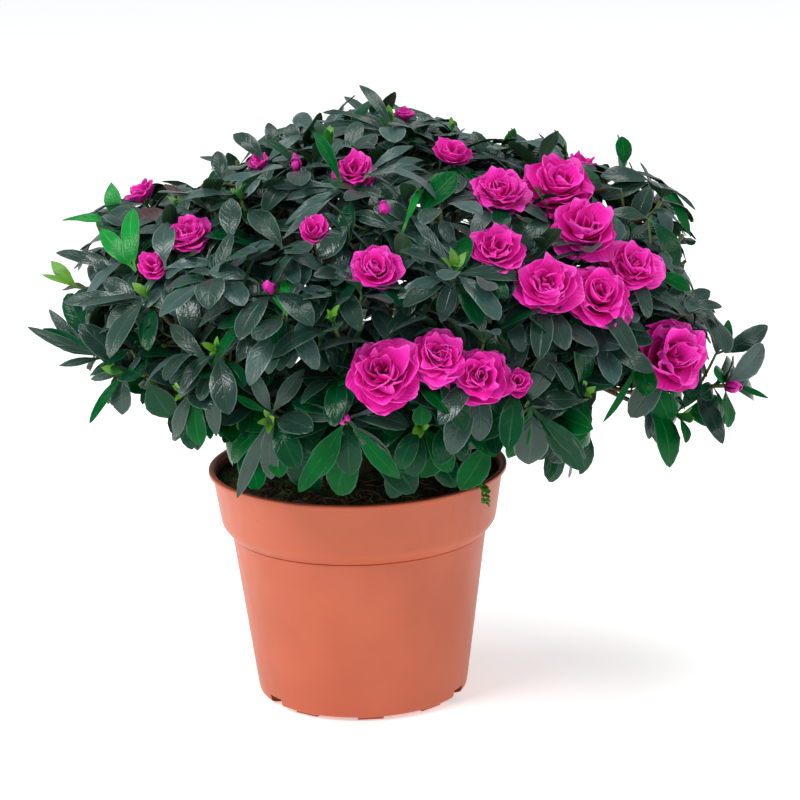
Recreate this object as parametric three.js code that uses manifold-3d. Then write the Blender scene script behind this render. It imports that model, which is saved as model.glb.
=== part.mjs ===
// A florist's azalea in its plastic nursery pot: pot, root ball, a short forked stem, and the low dome
// of foliage in twelve masses, each of twigs that end in a whorl of leaves, a bloom or a bud.
import * as THREE from "three";
import { mergeVertices } from "three/addons/utils/BufferGeometryUtils.js";
import Module from "manifold-3d";

const wasm = await Module();
wasm.setup();

// Driving dimensions, in millimetres and degrees. The origin is on the floor, under the pot's axis.
const POT_HEIGHT = 111;
const RIM_RADIUS = 70;
const COLLAR_RADIUS = 68.1; // just under the lip
const COLLAR_FOOT = { radius: 64.8, height: 86.4 };
const LEDGE = { radius: 59.9, height: 80.2 }; // where the body meets the collar
const BASE_RADIUS = 49.8;
const BASE_ROUNDING = 4;
const WALL = 1.5;
const LIP_HEIGHT = 2.4;
const LIP_WIDTH = 2.6;
const PAD = { count: 9, height: 1.2, radius: 42.5, long: 12, wide: 6, first: 4.5 };
const NOTCH = { count: 3, height: 4.6, wide: 9, deep: 12, first: 64.5 };
const CENTRE_PAD_RADIUS = 9;
const FIT = 0.3; // the gap left where two pieces meet
const GRID = 0.002; // no two corners of a joined piece are nearer than this

const SOIL_EDGE = 106.2;
const SOIL_TOP = 107.5;
const SOIL_FLAT = 14;

const TRUNK = { rise: 44, lean: 9, flare: 9.5, radius: 6.2, tip: 4.2 };
const BOUGH = { root: 2.4, tip: 1.8, share: 0.5, arch: 7 };
const STEM = { tip: 1.3, past: 0.16 };
const TWIG = { root: 1.3, tip: 1, stations: [0.86, 0.45, 0], corners: [0, 2, 4] };

// The crown is a low dome about its heart; reach is how far the shoot tips stand from the heart.
const HEART = new THREE.Vector3(17, 0, 187);
const REACH = { left: 136, right: 152, front: 118, back: 124, up: 82, down: 62 };
const MASS_GAP = 0.25; // from a mass to the plane between it and its neighbour
const CORE = { share: 0.8, dome: 0.78, least: 6 }; // the dense inside of a mass

const LEAF = { shortest: 28, longest: 36, width: 0.6, thick: 0.8, widest: 0.6, arch: 0.04, droop: 0.08, apart: 7 };
const WHORL = { leaves: 5, radius: 1.6, rise: 1.2, flattest: 90, steepest: 55, sag: 0.22 };
// The lengths and pitches that a leaf is tried at, as shares. Under a flower only flat leaves have room.
const LEAF_TRIES = [[1, 1], [1, 0.72], [0.82, 0.9], [0.82, 0.5]];
const FLAT_TRIES = [[1, 1.25], [0.82, 1.1]];
const SECTOR = (2 * Math.PI) / WHORL.leaves;
const SHOOT_ROOM = 12.8; // what a leafy shoot keeps free round its tip
const LEAN = { outward: 0.6, up: 0.5 }; // a shoot's axis, between the way out of the dome and upright
const TRIES = 1600;
const LOWEST_WAY = -0.56;
const SEED = 17;

// How the dome is looked at, for the places below: across and up in a picture plane through AIM.
const EYE = { distance: 1500, rise: 15 };
const AIM = new THREE.Vector3(20.6, 0, 141.2);

// Open sky beside and under the dome: across, up, radius. Nothing grows in front of it or behind.
const SKY = [
  [99, -7, 9], [101, -25, 14], [149, 56, 12], [160, 93, 20], [140, 121, 16], [-117, 126, 18],
  [-84, 136, 12], [-160, 98, 12], [-61, 146, 12], [-131, -16, 12], [-112, -24, 9], [-98, -34, 12],
  [170, -20, 13], [24, 139, 8], [36, 136, 9], [50, 133, 9], [70, 134, 8], [88, 130, 12],
  [96, 121, 7], [118, 117, 8], [126, 111, 8], [138, 103, 9], [-108, 112, 6], [-97, 118, 6],
  [-92, 129, 8], [-30, 148, 8], [-160, -6, 12], [-163, 12, 7], [60, -40, 8], [-151, 82, 7],
];

// Blooms on the side that is looked at: across, up, width.
const BLOOMS = [
  [130, 19, 42], [-8, 14, 39], [77, 101, 40], [95, 48, 36], [88, 80, 35], [70, 54, 34],
  [111, 62, 32], [38, 11, 31], [49, 98, 30], [47, 71, 28], [18, 21, 28], [-10, 63, 26],
  [-97, 81, 24], [-19, 109, 23],
];
const HALF_OPEN = [
  [27, 114, 19], [-118, 98, 17], [-113, 65, 16], [-38, 80, 16], [55, 7, 15], [5, 132, 12], [-63, 112, 12],
];
const BUDS = [[-46, 109, 7], [-5, 87, 8], [-59, 52, 8], [153, 3, 8], [-26, -8, 7]];
// Shoots with no bloom there: across, up.
const YOUNG_SHOOTS = [[-134, 88], [-122, 69], [-143, 54], [53, 118], [107, 104], [21, 88], [-54, 40], [59, -4]];
const LEAFY_SHOOTS = [
  [27, 58], [-141, 28], [-116, 50], [-84, 24], [-59, -8], [134, 74], [124, 90], [140, 43],
  [9, -12], [82, -12], [-72, 95], [-98, 6], [-84, 58], [-30, 36], [112, 0], [128, -10],
  [-2, 126], [-128, 16], [126, 66], [68, -16], [87, -15],
];

const DEGREE = Math.PI / 180;
const UP = new THREE.Vector3(0, 0, 1);
const point = (x, y, z) => new THREE.Vector3(x, y, z);
const AWAY = point(0, Math.cos(EYE.rise * DEGREE), -Math.sin(EYE.rise * DEGREE));
const PICTURE_UP = point(0, Math.sin(EYE.rise * DEGREE), Math.cos(EYE.rise * DEGREE));
const along = (from, way, length) => from.clone().addScaledVector(way, length);
const wayTo = (from, to) => to.clone().sub(from).normalize();

// A repeatable run of numbers from 0 to 1, the same for the same number.
function seeded(number) {
  let state = (number * 7919 + 104729) % 2147483647;
  const draw = () => {
    state = (state * 48271) % 2147483647;
    return state / 2147483647;
  };
  for (let i = 0; i < 4; i++) draw();
  return draw;
}
const between = (draw, low, high) => low + (high - low) * draw();

const solidFrom = (vertProperties, triangles) =>
  new wasm.Manifold(new wasm.Mesh({ numProp: 3, vertProperties, triVerts: new Uint32Array(triangles) }));

// A closed solid from a geometry, with its shared corners merged and its faces pointing out.
function solidOf(geometry) {
  const bare = geometry.index ? geometry.toNonIndexed() : geometry.clone();
  bare.deleteAttribute("normal");
  bare.deleteAttribute("uv");
  const merged = mergeVertices(bare, 1e-4);
  const corners = merged.index.array;
  const kept = [];
  for (let i = 0; i < corners.length; i += 3) {
    const [a, b, c] = corners.slice(i, i + 3);
    if (a !== b && b !== c && a !== c) kept.push(a, b, c);
  }
  const made = solidFrom(merged.attributes.position.array, kept);
  return made.volume() < 0 ? solidFrom(merged.attributes.position.array, kept.reverse()) : made;
}

// Whether each edge of the faces is shared by exactly two of them.
function isClosed(corners) {
  const uses = new Map();
  corners.forEach((from, i) => {
    const to = corners[i % 3 === 2 ? i - 2 : i + 1];
    const edge = from < to ? `${from} ${to}` : `${to} ${from}`;
    uses.set(edge, (uses.get(edge) ?? 0) + 1);
  });
  return [...uses.values()].every((count) => count === 2);
}

// The same solid with its corners on a grid, so that no two are nearer than that, or nothing where
// its faces then no longer close.
function onGrid(solid) {
  const { numProp, vertProperties, triVerts } = solid.getMesh();
  const numbers = new Map();
  const places = [];
  const numberOf = (vertex) => {
    const cell = [0, 1, 2].map((axis) => Math.round(vertProperties[vertex * numProp + axis] / GRID));
    const key = cell.join(" ");
    if (!numbers.has(key)) {
      numbers.set(key, numbers.size);
      places.push(...cell.map((value) => value * GRID));
    }
    return numbers.get(key);
  };
  const triangles = [];
  for (let i = 0; i < triVerts.length; i += 3) {
    const [a, b, c] = [0, 1, 2].map((corner) => numberOf(triVerts[i + corner]));
    if (a !== b && b !== c && a !== c) triangles.push(a, b, c);
  }
  if (!isClosed(triangles)) return null;
  const made = solidFrom(new Float32Array(places), triangles);
  return made.decompose().length === 1 ? made : null;
}

// The one body that the pieces make, joined one at a time. A hollow that a joint seals is filled, a
// piece that would stay loose is dropped, and so is one whose joint is finer than the grid.
function joined(pieces) {
  const largest = (bodies) => bodies.reduce((most, body) => (body.volume() > most.volume() ? body : most));
  const whole = pieces.reduce((body, piece) => {
    const next = largest(body.add(piece).decompose());
    return onGrid(next) ? next : body;
  });
  return onGrid(whole);
}

// A named mesh from a solid, for the finished group.
function meshOf(name, solid, material) {
  const { numProp, vertProperties, triVerts } = solid.getMesh();
  const places = new Float32Array((vertProperties.length / numProp) * 3);
  for (let i = 0; i < places.length / 3; i++) {
    places.set(vertProperties.subarray(i * numProp, i * numProp + 3), i * 3);
  }
  const geometry = new THREE.BufferGeometry();
  geometry.setAttribute("position", new THREE.BufferAttribute(places, 3));
  geometry.setIndex(new THREE.BufferAttribute(triVerts, 1));
  const mesh = new THREE.Mesh(geometry, material);
  mesh.name = name;
  return mesh;
}

// A profile of [radius, height] points turned about the vertical axis.
function turned(profile, segments) {
  const points = profile.map(([radius, height]) => new THREE.Vector2(radius, height));
  return solidOf(new THREE.LatheGeometry(points, segments).rotateX(90 * DEGREE));
}

// A tapering limb: a cylinder bent along a curve, with its radius given along the way.
function limb(curve, radiusAt, sides, steps) {
  const geometry = new THREE.CylinderGeometry(1, 1, 1, sides, steps);
  const places = geometry.attributes.position;
  const turn = new THREE.Quaternion();
  for (let i = 0; i < places.count; i++) {
    const share = Math.min(1, Math.max(0, places.getY(i) + 0.5));
    const radius = radiusAt(share);
    turn.setFromUnitVectors(point(0, 1, 0), curve.getTangent(share));
    const place = point(places.getX(i) * radius, 0, places.getZ(i) * radius).applyQuaternion(turn);
    place.add(curve.getPoint(share));
    places.setXYZ(i, place.x, place.y, place.z);
  }
  return solidOf(geometry);
}

const taper = (root, tip) => (share) => root + (tip - root) * share;

// The pot: a turned shell with its collar and lip, drain notches cut in the foot, and low pads under it.
function potSolid() {
  const foot = PAD.height;
  const outside = [
    [0, foot],
    [BASE_RADIUS - BASE_ROUNDING, foot],
    [BASE_RADIUS - 1, foot + 1.4],
    [BASE_RADIUS, foot + BASE_ROUNDING],
    [LEDGE.radius, LEDGE.height],
    [COLLAR_FOOT.radius - 1, COLLAR_FOOT.height - 2.6],
    [COLLAR_FOOT.radius, COLLAR_FOOT.height],
    [COLLAR_RADIUS, POT_HEIGHT - LIP_HEIGHT],
    [RIM_RADIUS, POT_HEIGHT - LIP_HEIGHT + 0.5],
    [RIM_RADIUS, POT_HEIGHT - 0.5],
    [RIM_RADIUS - 0.5, POT_HEIGHT],
    [RIM_RADIUS - LIP_WIDTH, POT_HEIGHT],
  ];
  const inside = [
    [COLLAR_RADIUS - WALL, POT_HEIGHT - LIP_HEIGHT],
    [COLLAR_FOOT.radius - WALL, COLLAR_FOOT.height],
    [LEDGE.radius - WALL, LEDGE.height],
    [BASE_RADIUS - WALL, foot + BASE_ROUNDING],
    [BASE_RADIUS - BASE_ROUNDING, foot + WALL],
    [0, foot + WALL],
  ];
  const shell = turned([...outside, ...inside], 36);
  const around = (angle, radius, height) => {
    // Angles run from the side that is looked at, towards the right.
    const turn = (angle - 90) * DEGREE;
    return new THREE.Matrix4().makeRotationZ(turn).setPosition(
      radius * Math.cos(turn), radius * Math.sin(turn), height);
  };
  const notches = [];
  for (let i = 0; i < NOTCH.count; i++) {
    const box = new THREE.BoxGeometry(NOTCH.deep, NOTCH.wide, 2 * NOTCH.height);
    notches.push(solidOf(box.applyMatrix4(around(NOTCH.first + (i * 360) / NOTCH.count, BASE_RADIUS, foot))));
  }
  const pads = [];
  const into = 0.6;
  for (let i = 0; i < PAD.count; i++) {
    const box = new THREE.BoxGeometry(PAD.wide, PAD.long, PAD.height + into);
    const height = (PAD.height + into) / 2;
    pads.push(solidOf(box.applyMatrix4(around(PAD.first + (i * 360) / PAD.count, PAD.radius, height))));
  }
  const middle = new THREE.CylinderGeometry(CENTRE_PAD_RADIUS, CENTRE_PAD_RADIUS, PAD.height + into, 24);
  pads.push(solidOf(middle.rotateX(90 * DEGREE).translate(0, 0, (PAD.height + into) / 2)));
  const notched = notches.reduce((rest, notch) => rest.subtract(notch), shell);
  return joined([notched, ...pads]);
}

// The root ball fills the pot to just under the rim and rises a little to the stem.
function soilSolid() {
  const inset = WALL + FIT;
  const collarSlope = (COLLAR_RADIUS - COLLAR_FOOT.radius) / (POT_HEIGHT - LIP_HEIGHT - COLLAR_FOOT.height);
  const edge = COLLAR_FOOT.radius - inset + collarSlope * (SOIL_EDGE - COLLAR_FOOT.height);
  return turned([
    [0, PAD.height + inset],
    [BASE_RADIUS - BASE_ROUNDING - FIT, PAD.height + inset],
    [BASE_RADIUS - inset, PAD.height + BASE_ROUNDING + FIT],
    [LEDGE.radius - inset, LEDGE.height + FIT],
    [COLLAR_FOOT.radius - inset, COLLAR_FOOT.height + FIT],
    [edge, SOIL_EDGE],
    [0.72 * edge, SOIL_EDGE + 0.55 * (SOIL_TOP - SOIL_EDGE)],
    [0.42 * edge, SOIL_EDGE + 0.88 * (SOIL_TOP - SOIL_EDGE)],
    [SOIL_FLAT, SOIL_TOP],
    [0, SOIL_TOP],
  ], 30);
}

// How far the dome reaches from its heart, that way.
function reachAlong(way) {
  const x = way.x / (way.x < 0 ? REACH.left : REACH.right);
  const y = way.y / (way.y < 0 ? REACH.front : REACH.back);
  const z = way.z / (way.z < 0 ? REACH.down : REACH.up);
  return 1 / Math.hypot(x, y, z);
}

const onDome = (way, share = 1) => along(HEART, way, reachAlong(way) * share);

// The way that the dome's surface faces at a place.
function outward(place) {
  const from = place.clone().sub(HEART);
  return point(
    from.x / (from.x < 0 ? REACH.left : REACH.right) ** 2,
    from.y / (from.y < 0 ? REACH.front : REACH.back) ** 2,
    from.z / (from.z < 0 ? REACH.down : REACH.up) ** 2,
  ).normalize();
}

// The place on the near side of the dome that is seen across and up from the aim.
// A line that misses the dome gives its point nearest to it.
function seenAt(across, up) {
  const eye = along(AIM, AWAY, -EYE.distance);
  const through = along(along(AIM, point(1, 0, 0), across), PICTURE_UP, up);
  const line = wayTo(eye, through);
  let best = null;
  let least = Infinity;
  for (let step = -200; step <= 200 && least > 1; step += 2) {
    const place = along(eye, line, EYE.distance + step);
    const level = place.distanceTo(HEART) / reachAlong(wayTo(HEART, place));
    if (level < least) {
      least = level;
      best = place;
    }
  }
  return best;
}

// Where a place is seen, across and up from the aim, and how far behind the aim it lies.
function picture(place) {
  const from = place.clone().sub(AIM);
  const behind = from.dot(AWAY);
  const scale = EYE.distance / (EYE.distance + behind);
  return [from.x * scale, from.dot(PICTURE_UP) * scale, behind];
}

// Whether a place is seen in front of the open sky.
function inSky(place) {
  const [x, y] = picture(place);
  return SKY.some(([across, up, radius]) => Math.hypot(x - across, y - up) < radius);
}

// Whether a place is seen in front of a flower on the near side.
function hidesFlower(place) {
  const [x, y, behind] = picture(place);
  return windows.some((flower) => Math.hypot(x - flower.x, y - flower.y) < flower.radius && behind < flower.behind);
}

// The masses: a low ring of six, a high ring of five, and the top. Each has a middle, a bough to it,
// and the space nearer to its middle than to any other.
const LOW_RING = ["front", "front_right", "back_right", "back", "back_left", "front_left"];
const HIGH_RING = ["front_right", "right", "back", "left", "front_left"];

function ring(level, names, first, rise, share, leaves, arch) {
  return names.map((name, i) => {
    const azimuth = (first + (i * 360) / names.length) * DEGREE;
    const way = point(
      Math.cos(azimuth) * Math.cos(rise * DEGREE),
      Math.sin(azimuth) * Math.cos(rise * DEGREE),
      Math.sin(rise * DEGREE),
    );
    return { name: `${level}_${name}`, middle: onDome(way, share), leaves: leaves + 0.12 * ((i + 1) % 2), arch };
  });
}

const masses = [
  ...ring("low", LOW_RING, -90, -14, 0.72, 0.34, BOUGH.arch),
  ...ring("high", HIGH_RING, -54, 30, 0.76, 0.66, -1),
  { name: "top", middle: along(HEART, UP, 0.55 * REACH.up), leaves: 1, arch: 0 },
];

// How far a place is past the plane between two middles, on the first one's side.
function pastPlane(place, own, other) {
  const apart = own.middle.distanceTo(other.middle);
  return (place.distanceToSquared(other.middle) - place.distanceToSquared(own.middle)) / (2 * apart);
}

const inSpace = (places, own) =>
  places.every((place) => masses.every((other) => other === own || pastPlane(place, own, other) > MASS_GAP));

const homeOf = (place) =>
  masses.reduce((nearest, mass) =>
    place.distanceTo(mass.middle) < place.distanceTo(nearest.middle) ? mass : nearest);

// The stem leans a little towards the crown's heart and flares where it enters the soil.
const trunkFoot = point(0, 0, SOIL_TOP + FIT);
const trunkCurve = new THREE.QuadraticBezierCurve3(
  trunkFoot,
  along(trunkFoot, UP, 0.5 * TRUNK.rise),
  point(TRUNK.lean, 0, SOIL_TOP + TRUNK.rise),
);
const trunkRadius = (share) =>
  TRUNK.radius + (TRUNK.tip - TRUNK.radius) * share + (TRUNK.flare - TRUNK.radius) * (1 - share) ** 6;
const trunkSolid = (more) => limb(trunkCurve, (share) => trunkRadius(share) + more, 8, 6);

// A bough runs from the trunk to halfway to its mass, and the stem inside the mass goes on from it.
for (const mass of masses) {
  const top = mass.leaves === 1;
  const trunkWay = trunkCurve.getTangent(1);
  const root = top ? along(trunkCurve.getPoint(1), trunkWay, FIT) : trunkCurve.getPoint(mass.leaves);
  const tip = root.clone().lerp(mass.middle, BOUGH.share);
  const half = root.clone().lerp(tip, 0.5).addScaledVector(UP, mass.arch);
  const bend = top ? along(root, trunkWay, 0.5 * root.distanceTo(tip)) : half;
  mass.bough = new THREE.QuadraticBezierCurve3(root, bend, tip);
  const onward = mass.bough.getTangent(1);
  const end = along(mass.middle, wayTo(tip, mass.middle), STEM.past * tip.distanceTo(mass.middle));
  const start = along(tip, onward, FIT);
  mass.stem = new THREE.QuadraticBezierCurve3(start, along(start, onward, 0.4 * start.distanceTo(end)), end);
}

const limbs = [
  { curve: trunkCurve, radius: TRUNK.flare },
  ...masses.map((mass) => ({ curve: mass.bough, radius: BOUGH.root })),
].map(({ curve, radius }) => ({ points: curve.getPoints(8), radius }));

// Whether places keep clear of the pot, the soil and the limbs.
function isClear(places) {
  const segment = new THREE.Line3();
  const nearest = new THREE.Vector3();
  const margin = 1.5;
  return places.every((place) => {
    if (place.z < POT_HEIGHT + margin && Math.hypot(place.x, place.y) < RIM_RADIUS + margin) return false;
    return limbs.every(({ points, radius }) =>
      points.slice(1).every((end, i) => {
        segment.set(points[i], end).closestPointToPoint(place, true, nearest);
        return nearest.distanceTo(place) > radius + margin;
      }));
  });
}

// The shoots: those seen on the near side at their places, then more by the seeded rule, which takes
// random ways out from the heart and keeps a tip where no other tip is too near.
function shootAt(place, kind, width) {
  const axis = outward(place).multiplyScalar(LEAN.outward).addScaledVector(UP, LEAN.up).normalize();
  const tip = along(place, axis, -0.22 * width);
  const across = (Math.abs(axis.z) > 0.9 ? point(1, 0, 0) : UP.clone()).cross(axis).normalize();
  const over = axis.clone().cross(across);
  const radial = (azimuth) => across.clone().multiplyScalar(Math.cos(azimuth)).addScaledVector(over, Math.sin(azimuth));
  return { tip, axis, radial, kind, width, room: Math.max(SHOOT_ROOM, width / 2 + 7) };
}

function allShoots() {
  const shoots = [
    ...BLOOMS.map(([across, up, width]) => shootAt(seenAt(across, up), "bloom", width)),
    ...HALF_OPEN.map(([across, up, width]) => shootAt(seenAt(across, up), "half", width)),
    ...BUDS.map(([across, up, width]) => shootAt(seenAt(across, up), "bud", width)),
    ...YOUNG_SHOOTS.map(([across, up]) => shootAt(seenAt(across, up), "young", 0)),
    ...LEAFY_SHOOTS.map(([across, up]) => shootAt(seenAt(across, up), "leafy", 0)),
  ];
  const draw = seeded(SEED);
  for (let i = 0; i < TRIES; i++) {
    const height = between(draw, LOWEST_WAY, 1);
    const azimuth = between(draw, 0, 2 * Math.PI);
    const share = between(draw, 0.88, 0.99);
    const chance = draw();
    const size = draw();
    const flat = Math.sqrt(1 - height * height);
    const way = point(flat * Math.cos(azimuth), flat * Math.sin(azimuth), height);
    const place = onDome(way, share);
    // The near side has its blooms already; elsewhere about a third of the shoots flower.
    const far = place.y > 10;
    const kind = far && chance < 0.22 ? "bloom" : far && chance < 0.34 ? "half" : chance > 0.9 ? "young" : "leafy";
    const width = kind === "bloom" ? 26 + 13 * size : kind === "half" ? 12 + 7 * size : 0;
    const shoot = shootAt(place, kind, width);
    const room = shoots.every((other) => other.tip.distanceTo(shoot.tip) > other.room + shoot.room);
    if (room && !inSky(shoot.tip)) shoots.push(shoot);
  }
  return shoots;
}

const flowers = ({ kind }) => kind === "bloom" || kind === "half";

// A twig curves out from its mass's stem to its shoot, along the shoot's own axis at the tip.
function twigCurve(shoot, mass) {
  const onward = mass.stem.getPoint(1).sub(mass.stem.getPoint(0));
  const reach = shoot.tip.clone().sub(mass.stem.getPoint(0)).dot(onward) / onward.lengthSq();
  const root = mass.stem.getPoint(Math.min(0.94, Math.max(0.2, reach - 0.35)));
  const length = root.distanceTo(shoot.tip);
  const curved = new THREE.QuadraticBezierCurve3(root, along(shoot.tip, shoot.axis, -0.4 * length), shoot.tip);
  const straight = new THREE.QuadraticBezierCurve3(root, root.clone().lerp(shoot.tip, 0.5), shoot.tip);
  const fits = (curve) => {
    const places = curve.getPoints(6);
    return inSpace(places, mass) && isClear(places.slice(2));
  };
  return [curved, straight].find(fits);
}

// The corners of a leaf that starts at a place and goes out that way, its upper side to the face.
function leafAt(root, way, face, length) {
  const side = face.clone().cross(way).multiplyScalar(0.5 * LEAF.width * length);
  const widest = along(along(root, way, LEAF.widest * length), face, LEAF.arch * length);
  return {
    tip: along(along(root, way, length), face, -LEAF.droop * length),
    left: widest.clone().add(side),
    right: widest.clone().sub(side),
    ridge: along(widest, face, LEAF.thick),
  };
}

// The ways out of a whorl's leaves, evenly round the shoot with a little chance in each. A leaf that
// would leave its mass's space, touch a limb or the pot, or lie on another leaf is tried steeper and
// shorter, and then skipped.
function whorlLeaves(shoot, mass) {
  const draw = seeded(1000 + shoot.number);
  const leaves = [];
  for (let i = 0; i < WHORL.leaves; i++) {
    const azimuth = shoot.first + (i + between(draw, 0.34, 0.66)) * SECTOR;
    const pitch = between(draw, WHORL.steepest, WHORL.flattest) * DEGREE;
    const length = between(draw, LEAF.shortest, LEAF.longest);
    const leafOf = ([share, steeper]) => {
      const way = shoot.axis.clone().multiplyScalar(Math.cos(pitch * steeper));
      way.addScaledVector(shoot.radial(azimuth), Math.sin(pitch * steeper)).addScaledVector(UP, -WHORL.sag).normalize();
      const face = shoot.axis.clone().addScaledVector(way, -shoot.axis.dot(way)).normalize();
      return leafAt(shoot.tip, way, face, share * length);
    };
    const fits = (places) => {
      const spine = [0.45, 0.7, 0.95].map((part) => shoot.tip.clone().lerp(places.tip, part));
      const apart = spine.every((place) => mass.spines.every((other) => place.distanceTo(other) > LEAF.apart));
      const corners = [...Object.values(places), ...spine];
      if (!apart || !inSpace(corners, mass) || !isClear(corners)) return false;
      if (corners.some(inSky) || corners.some(hidesFlower)) return false;
      mass.spines.push(...spine);
      return true;
    };
    leaves.push((flowers(shoot) ? FLAT_TRIES : LEAF_TRIES).map(leafOf).find(fits));
  }
  return leaves;
}

// A shoot is one closed skin: a three-sided twig along its curve, a ring of corners at its tip, and a
// blade out of each gap between them, six faces above and three below. A gap without a leaf is closed.
function shootSolid(shoot, curve, leaves) {
  const corners = [];
  const face = (...three) => corners.push(...three);
  const inner = leaves.map((_, i) => along(shoot.tip, shoot.radial(shoot.first + i * SECTOR), WHORL.radius));
  const top = along(shoot.tip, shoot.axis, WHORL.rise);
  leaves.forEach((leaf, i) => {
    const from = inner[i];
    const to = inner[(i + 1) % inner.length];
    if (!leaf) {
      face(top, from, to);
      return;
    }
    const edge = [top, from, leaf.right, leaf.tip, leaf.left, to, top];
    for (let k = 0; k < 6; k++) face(edge[k], edge[k + 1], leaf.ridge);
    face(from, to, leaf.left);
    face(from, leaf.left, leaf.right);
    face(leaf.right, leaf.left, leaf.tip);
  });
  // Rings of three from just below the whorl down to the twig's root, turned to follow the curve.
  const turn = new THREE.Quaternion();
  const rings = TWIG.stations.map((share) => {
    turn.setFromUnitVectors(shoot.axis, curve.getTangent(share));
    const radius = TWIG.root + (TWIG.tip - TWIG.root) * share;
    return TWIG.corners.map((corner) =>
      along(curve.getPoint(share), shoot.radial(shoot.first + corner * SECTOR).applyQuaternion(turn), radius));
  });
  TWIG.corners.forEach((corner, k) => {
    const next = (k + 1) % TWIG.corners.length;
    face(rings[0][k], rings[0][next], inner[TWIG.corners[next]]);
    const last = TWIG.corners[next] || inner.length;
    for (let i = corner; i < last; i++) face(rings[0][k], inner[(i + 1) % inner.length], inner[i]);
    for (let i = 1; i < rings.length; i++) {
      face(rings[i][k], rings[i][next], rings[i - 1][next]);
      face(rings[i][k], rings[i - 1][next], rings[i - 1][k]);
    }
  });
  face(...rings[rings.length - 1].toReversed());
  return solidOf(new THREE.BufferGeometry().setFromPoints(corners));
}

// A double bloom as one ruffled cup: a turned profile whose rim is drawn in and out.
function bloomSolid(shoot) {
  const radius = shoot.width / 2;
  const depth = shoot.kind === "bloom" ? 0.42 : 0.7;
  const profile = [
    [0, -0.9 * depth], [0.96, 0.5 * depth], [0.6, depth], [0, 0.6 * depth],
  ].map(([r, h]) => new THREE.Vector2(r * radius, h * radius));
  const lobes = 5;
  const geometry = new THREE.LatheGeometry(profile, 2 * lobes);
  const places = geometry.attributes.position;
  for (let i = 0; i < places.count; i++) {
    const azimuth = Math.atan2(places.getZ(i), places.getX(i));
    const wave = 0.93 + 0.09 * Math.cos(lobes * azimuth);
    places.setXYZ(i, places.getX(i) * wave, places.getY(i), places.getZ(i) * wave);
  }
  const turn = new THREE.Quaternion().setFromUnitVectors(point(0, 1, 0), shoot.axis);
  const centre = along(shoot.tip, shoot.axis, 0.9 * depth * radius - 0.6);
  return solidOf(geometry.applyMatrix4(new THREE.Matrix4().compose(centre, turn, point(1, 1, 1))));
}

function budSolid(shoot) {
  const turn = new THREE.Quaternion().setFromUnitVectors(point(0, 1, 0), shoot.axis);
  const shape = point(shoot.width / 2, shoot.width * 0.8, shoot.width / 2);
  const centre = along(shoot.tip, shoot.axis, 0.5 * shoot.width);
  const geometry = new THREE.OctahedronGeometry(1, 0);
  return solidOf(geometry.applyMatrix4(new THREE.Matrix4().compose(centre, turn, shape)));
}

const shoots = allShoots();
const windows = shoots.slice(0, BLOOMS.length + HALF_OPEN.length + BUDS.length).map((shoot) => {
  const [x, y, behind] = picture(along(shoot.tip, shoot.axis, 0.4 * shoot.width));
  return { x, y, behind, radius: 0.42 * shoot.width };
});
shoots.forEach((shoot, number) => {
  shoot.number = number;
  shoot.first = seeded(500 + number)() * SECTOR;
  shoot.home = homeOf(shoot.tip);
});

// How far it is from a mass's middle to the skin of its dense inside, that way: a share of the way to
// the end of its space, the dome, the pot, a limb, or the end of its bough.
function coreReach(mass, way) {
  const tip = mass.stem.getPoint(0);
  const inward = wayTo(mass.middle, tip);
  let reach = 2;
  while (reach < 90) {
    const place = along(mass.middle, way, reach);
    const pastBough = place.clone().sub(tip).dot(inward) > -4;
    const shallow = place.distanceTo(HEART) > CORE.dome * reachAlong(wayTo(HEART, place));
    if (pastBough || shallow || !inSpace([place], mass) || !isClear([place])) break;
    reach += 1;
  }
  return CORE.share * reach;
}

function coreSolid(mass) {
  const geometry = new THREE.IcosahedronGeometry(1, 1);
  const places = geometry.attributes.position;
  for (let i = 0; i < places.count; i++) {
    const way = point().fromBufferAttribute(places, i).normalize();
    const place = along(mass.middle, way, Math.max(CORE.least, coreReach(mass, way)));
    places.setXYZ(i, place.x, place.y, place.z);
  }
  return solidOf(geometry);
}

// One mass: its stem, its dense inside, and every shoot in its space with twig, whorl and flower.
function massSolid(mass) {
  const pieces = [limb(mass.stem, taper(BOUGH.tip, STEM.tip), 6, 3), coreSolid(mass)];
  mass.spines = [];
  for (const shoot of shoots.filter(({ home }) => home === mass)) {
    const curve = twigCurve(shoot, mass);
    if (!curve) continue;
    pieces.push(shootSolid(shoot, curve, whorlLeaves(shoot, mass)));
    if (flowers(shoot)) {
      pieces.push(trimmed(bloomSolid(shoot), mass));
    }
    if (shoot.kind === "bud") pieces.push(budSolid(shoot));
  }
  return joined(pieces);
}

// What is left of a bloom inside its mass's space, cut at the planes to its neighbours.
function trimmed(solid, mass) {
  const size = 100;
  return masses.filter((other) => other !== mass).reduce((rest, other) => {
    const way = wayTo(mass.middle, other.middle);
    const turn = new THREE.Quaternion().setFromUnitVectors(UP, way);
    const onPlane = mass.middle.clone().lerp(other.middle, 0.5);
    const centre = along(onPlane, way, size / 2 - MASS_GAP);
    centre.add(solidMiddle(solid).sub(onPlane).projectOnPlane(way));
    const box = new THREE.BoxGeometry(size, size, size);
    return rest.subtract(solidOf(box.applyMatrix4(new THREE.Matrix4().compose(centre, turn, point(1, 1, 1)))));
  }, solid);
}

const solidMiddle = (solid) => {
  const { min, max } = solid.boundingBox();
  return point(...min).lerp(point(...max), 0.5);
};

const finish = (color, roughness) => new THREE.MeshStandardMaterial({ color, roughness, metalness: 0 });
const terracottaPlastic = finish(0xc9694b, 0.55);
const peat = finish(0x1c1712, 0.95);
const bark = finish(0x5a4a38, 0.85);
const foliage = finish(0x2c4034, 0.5);

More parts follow.
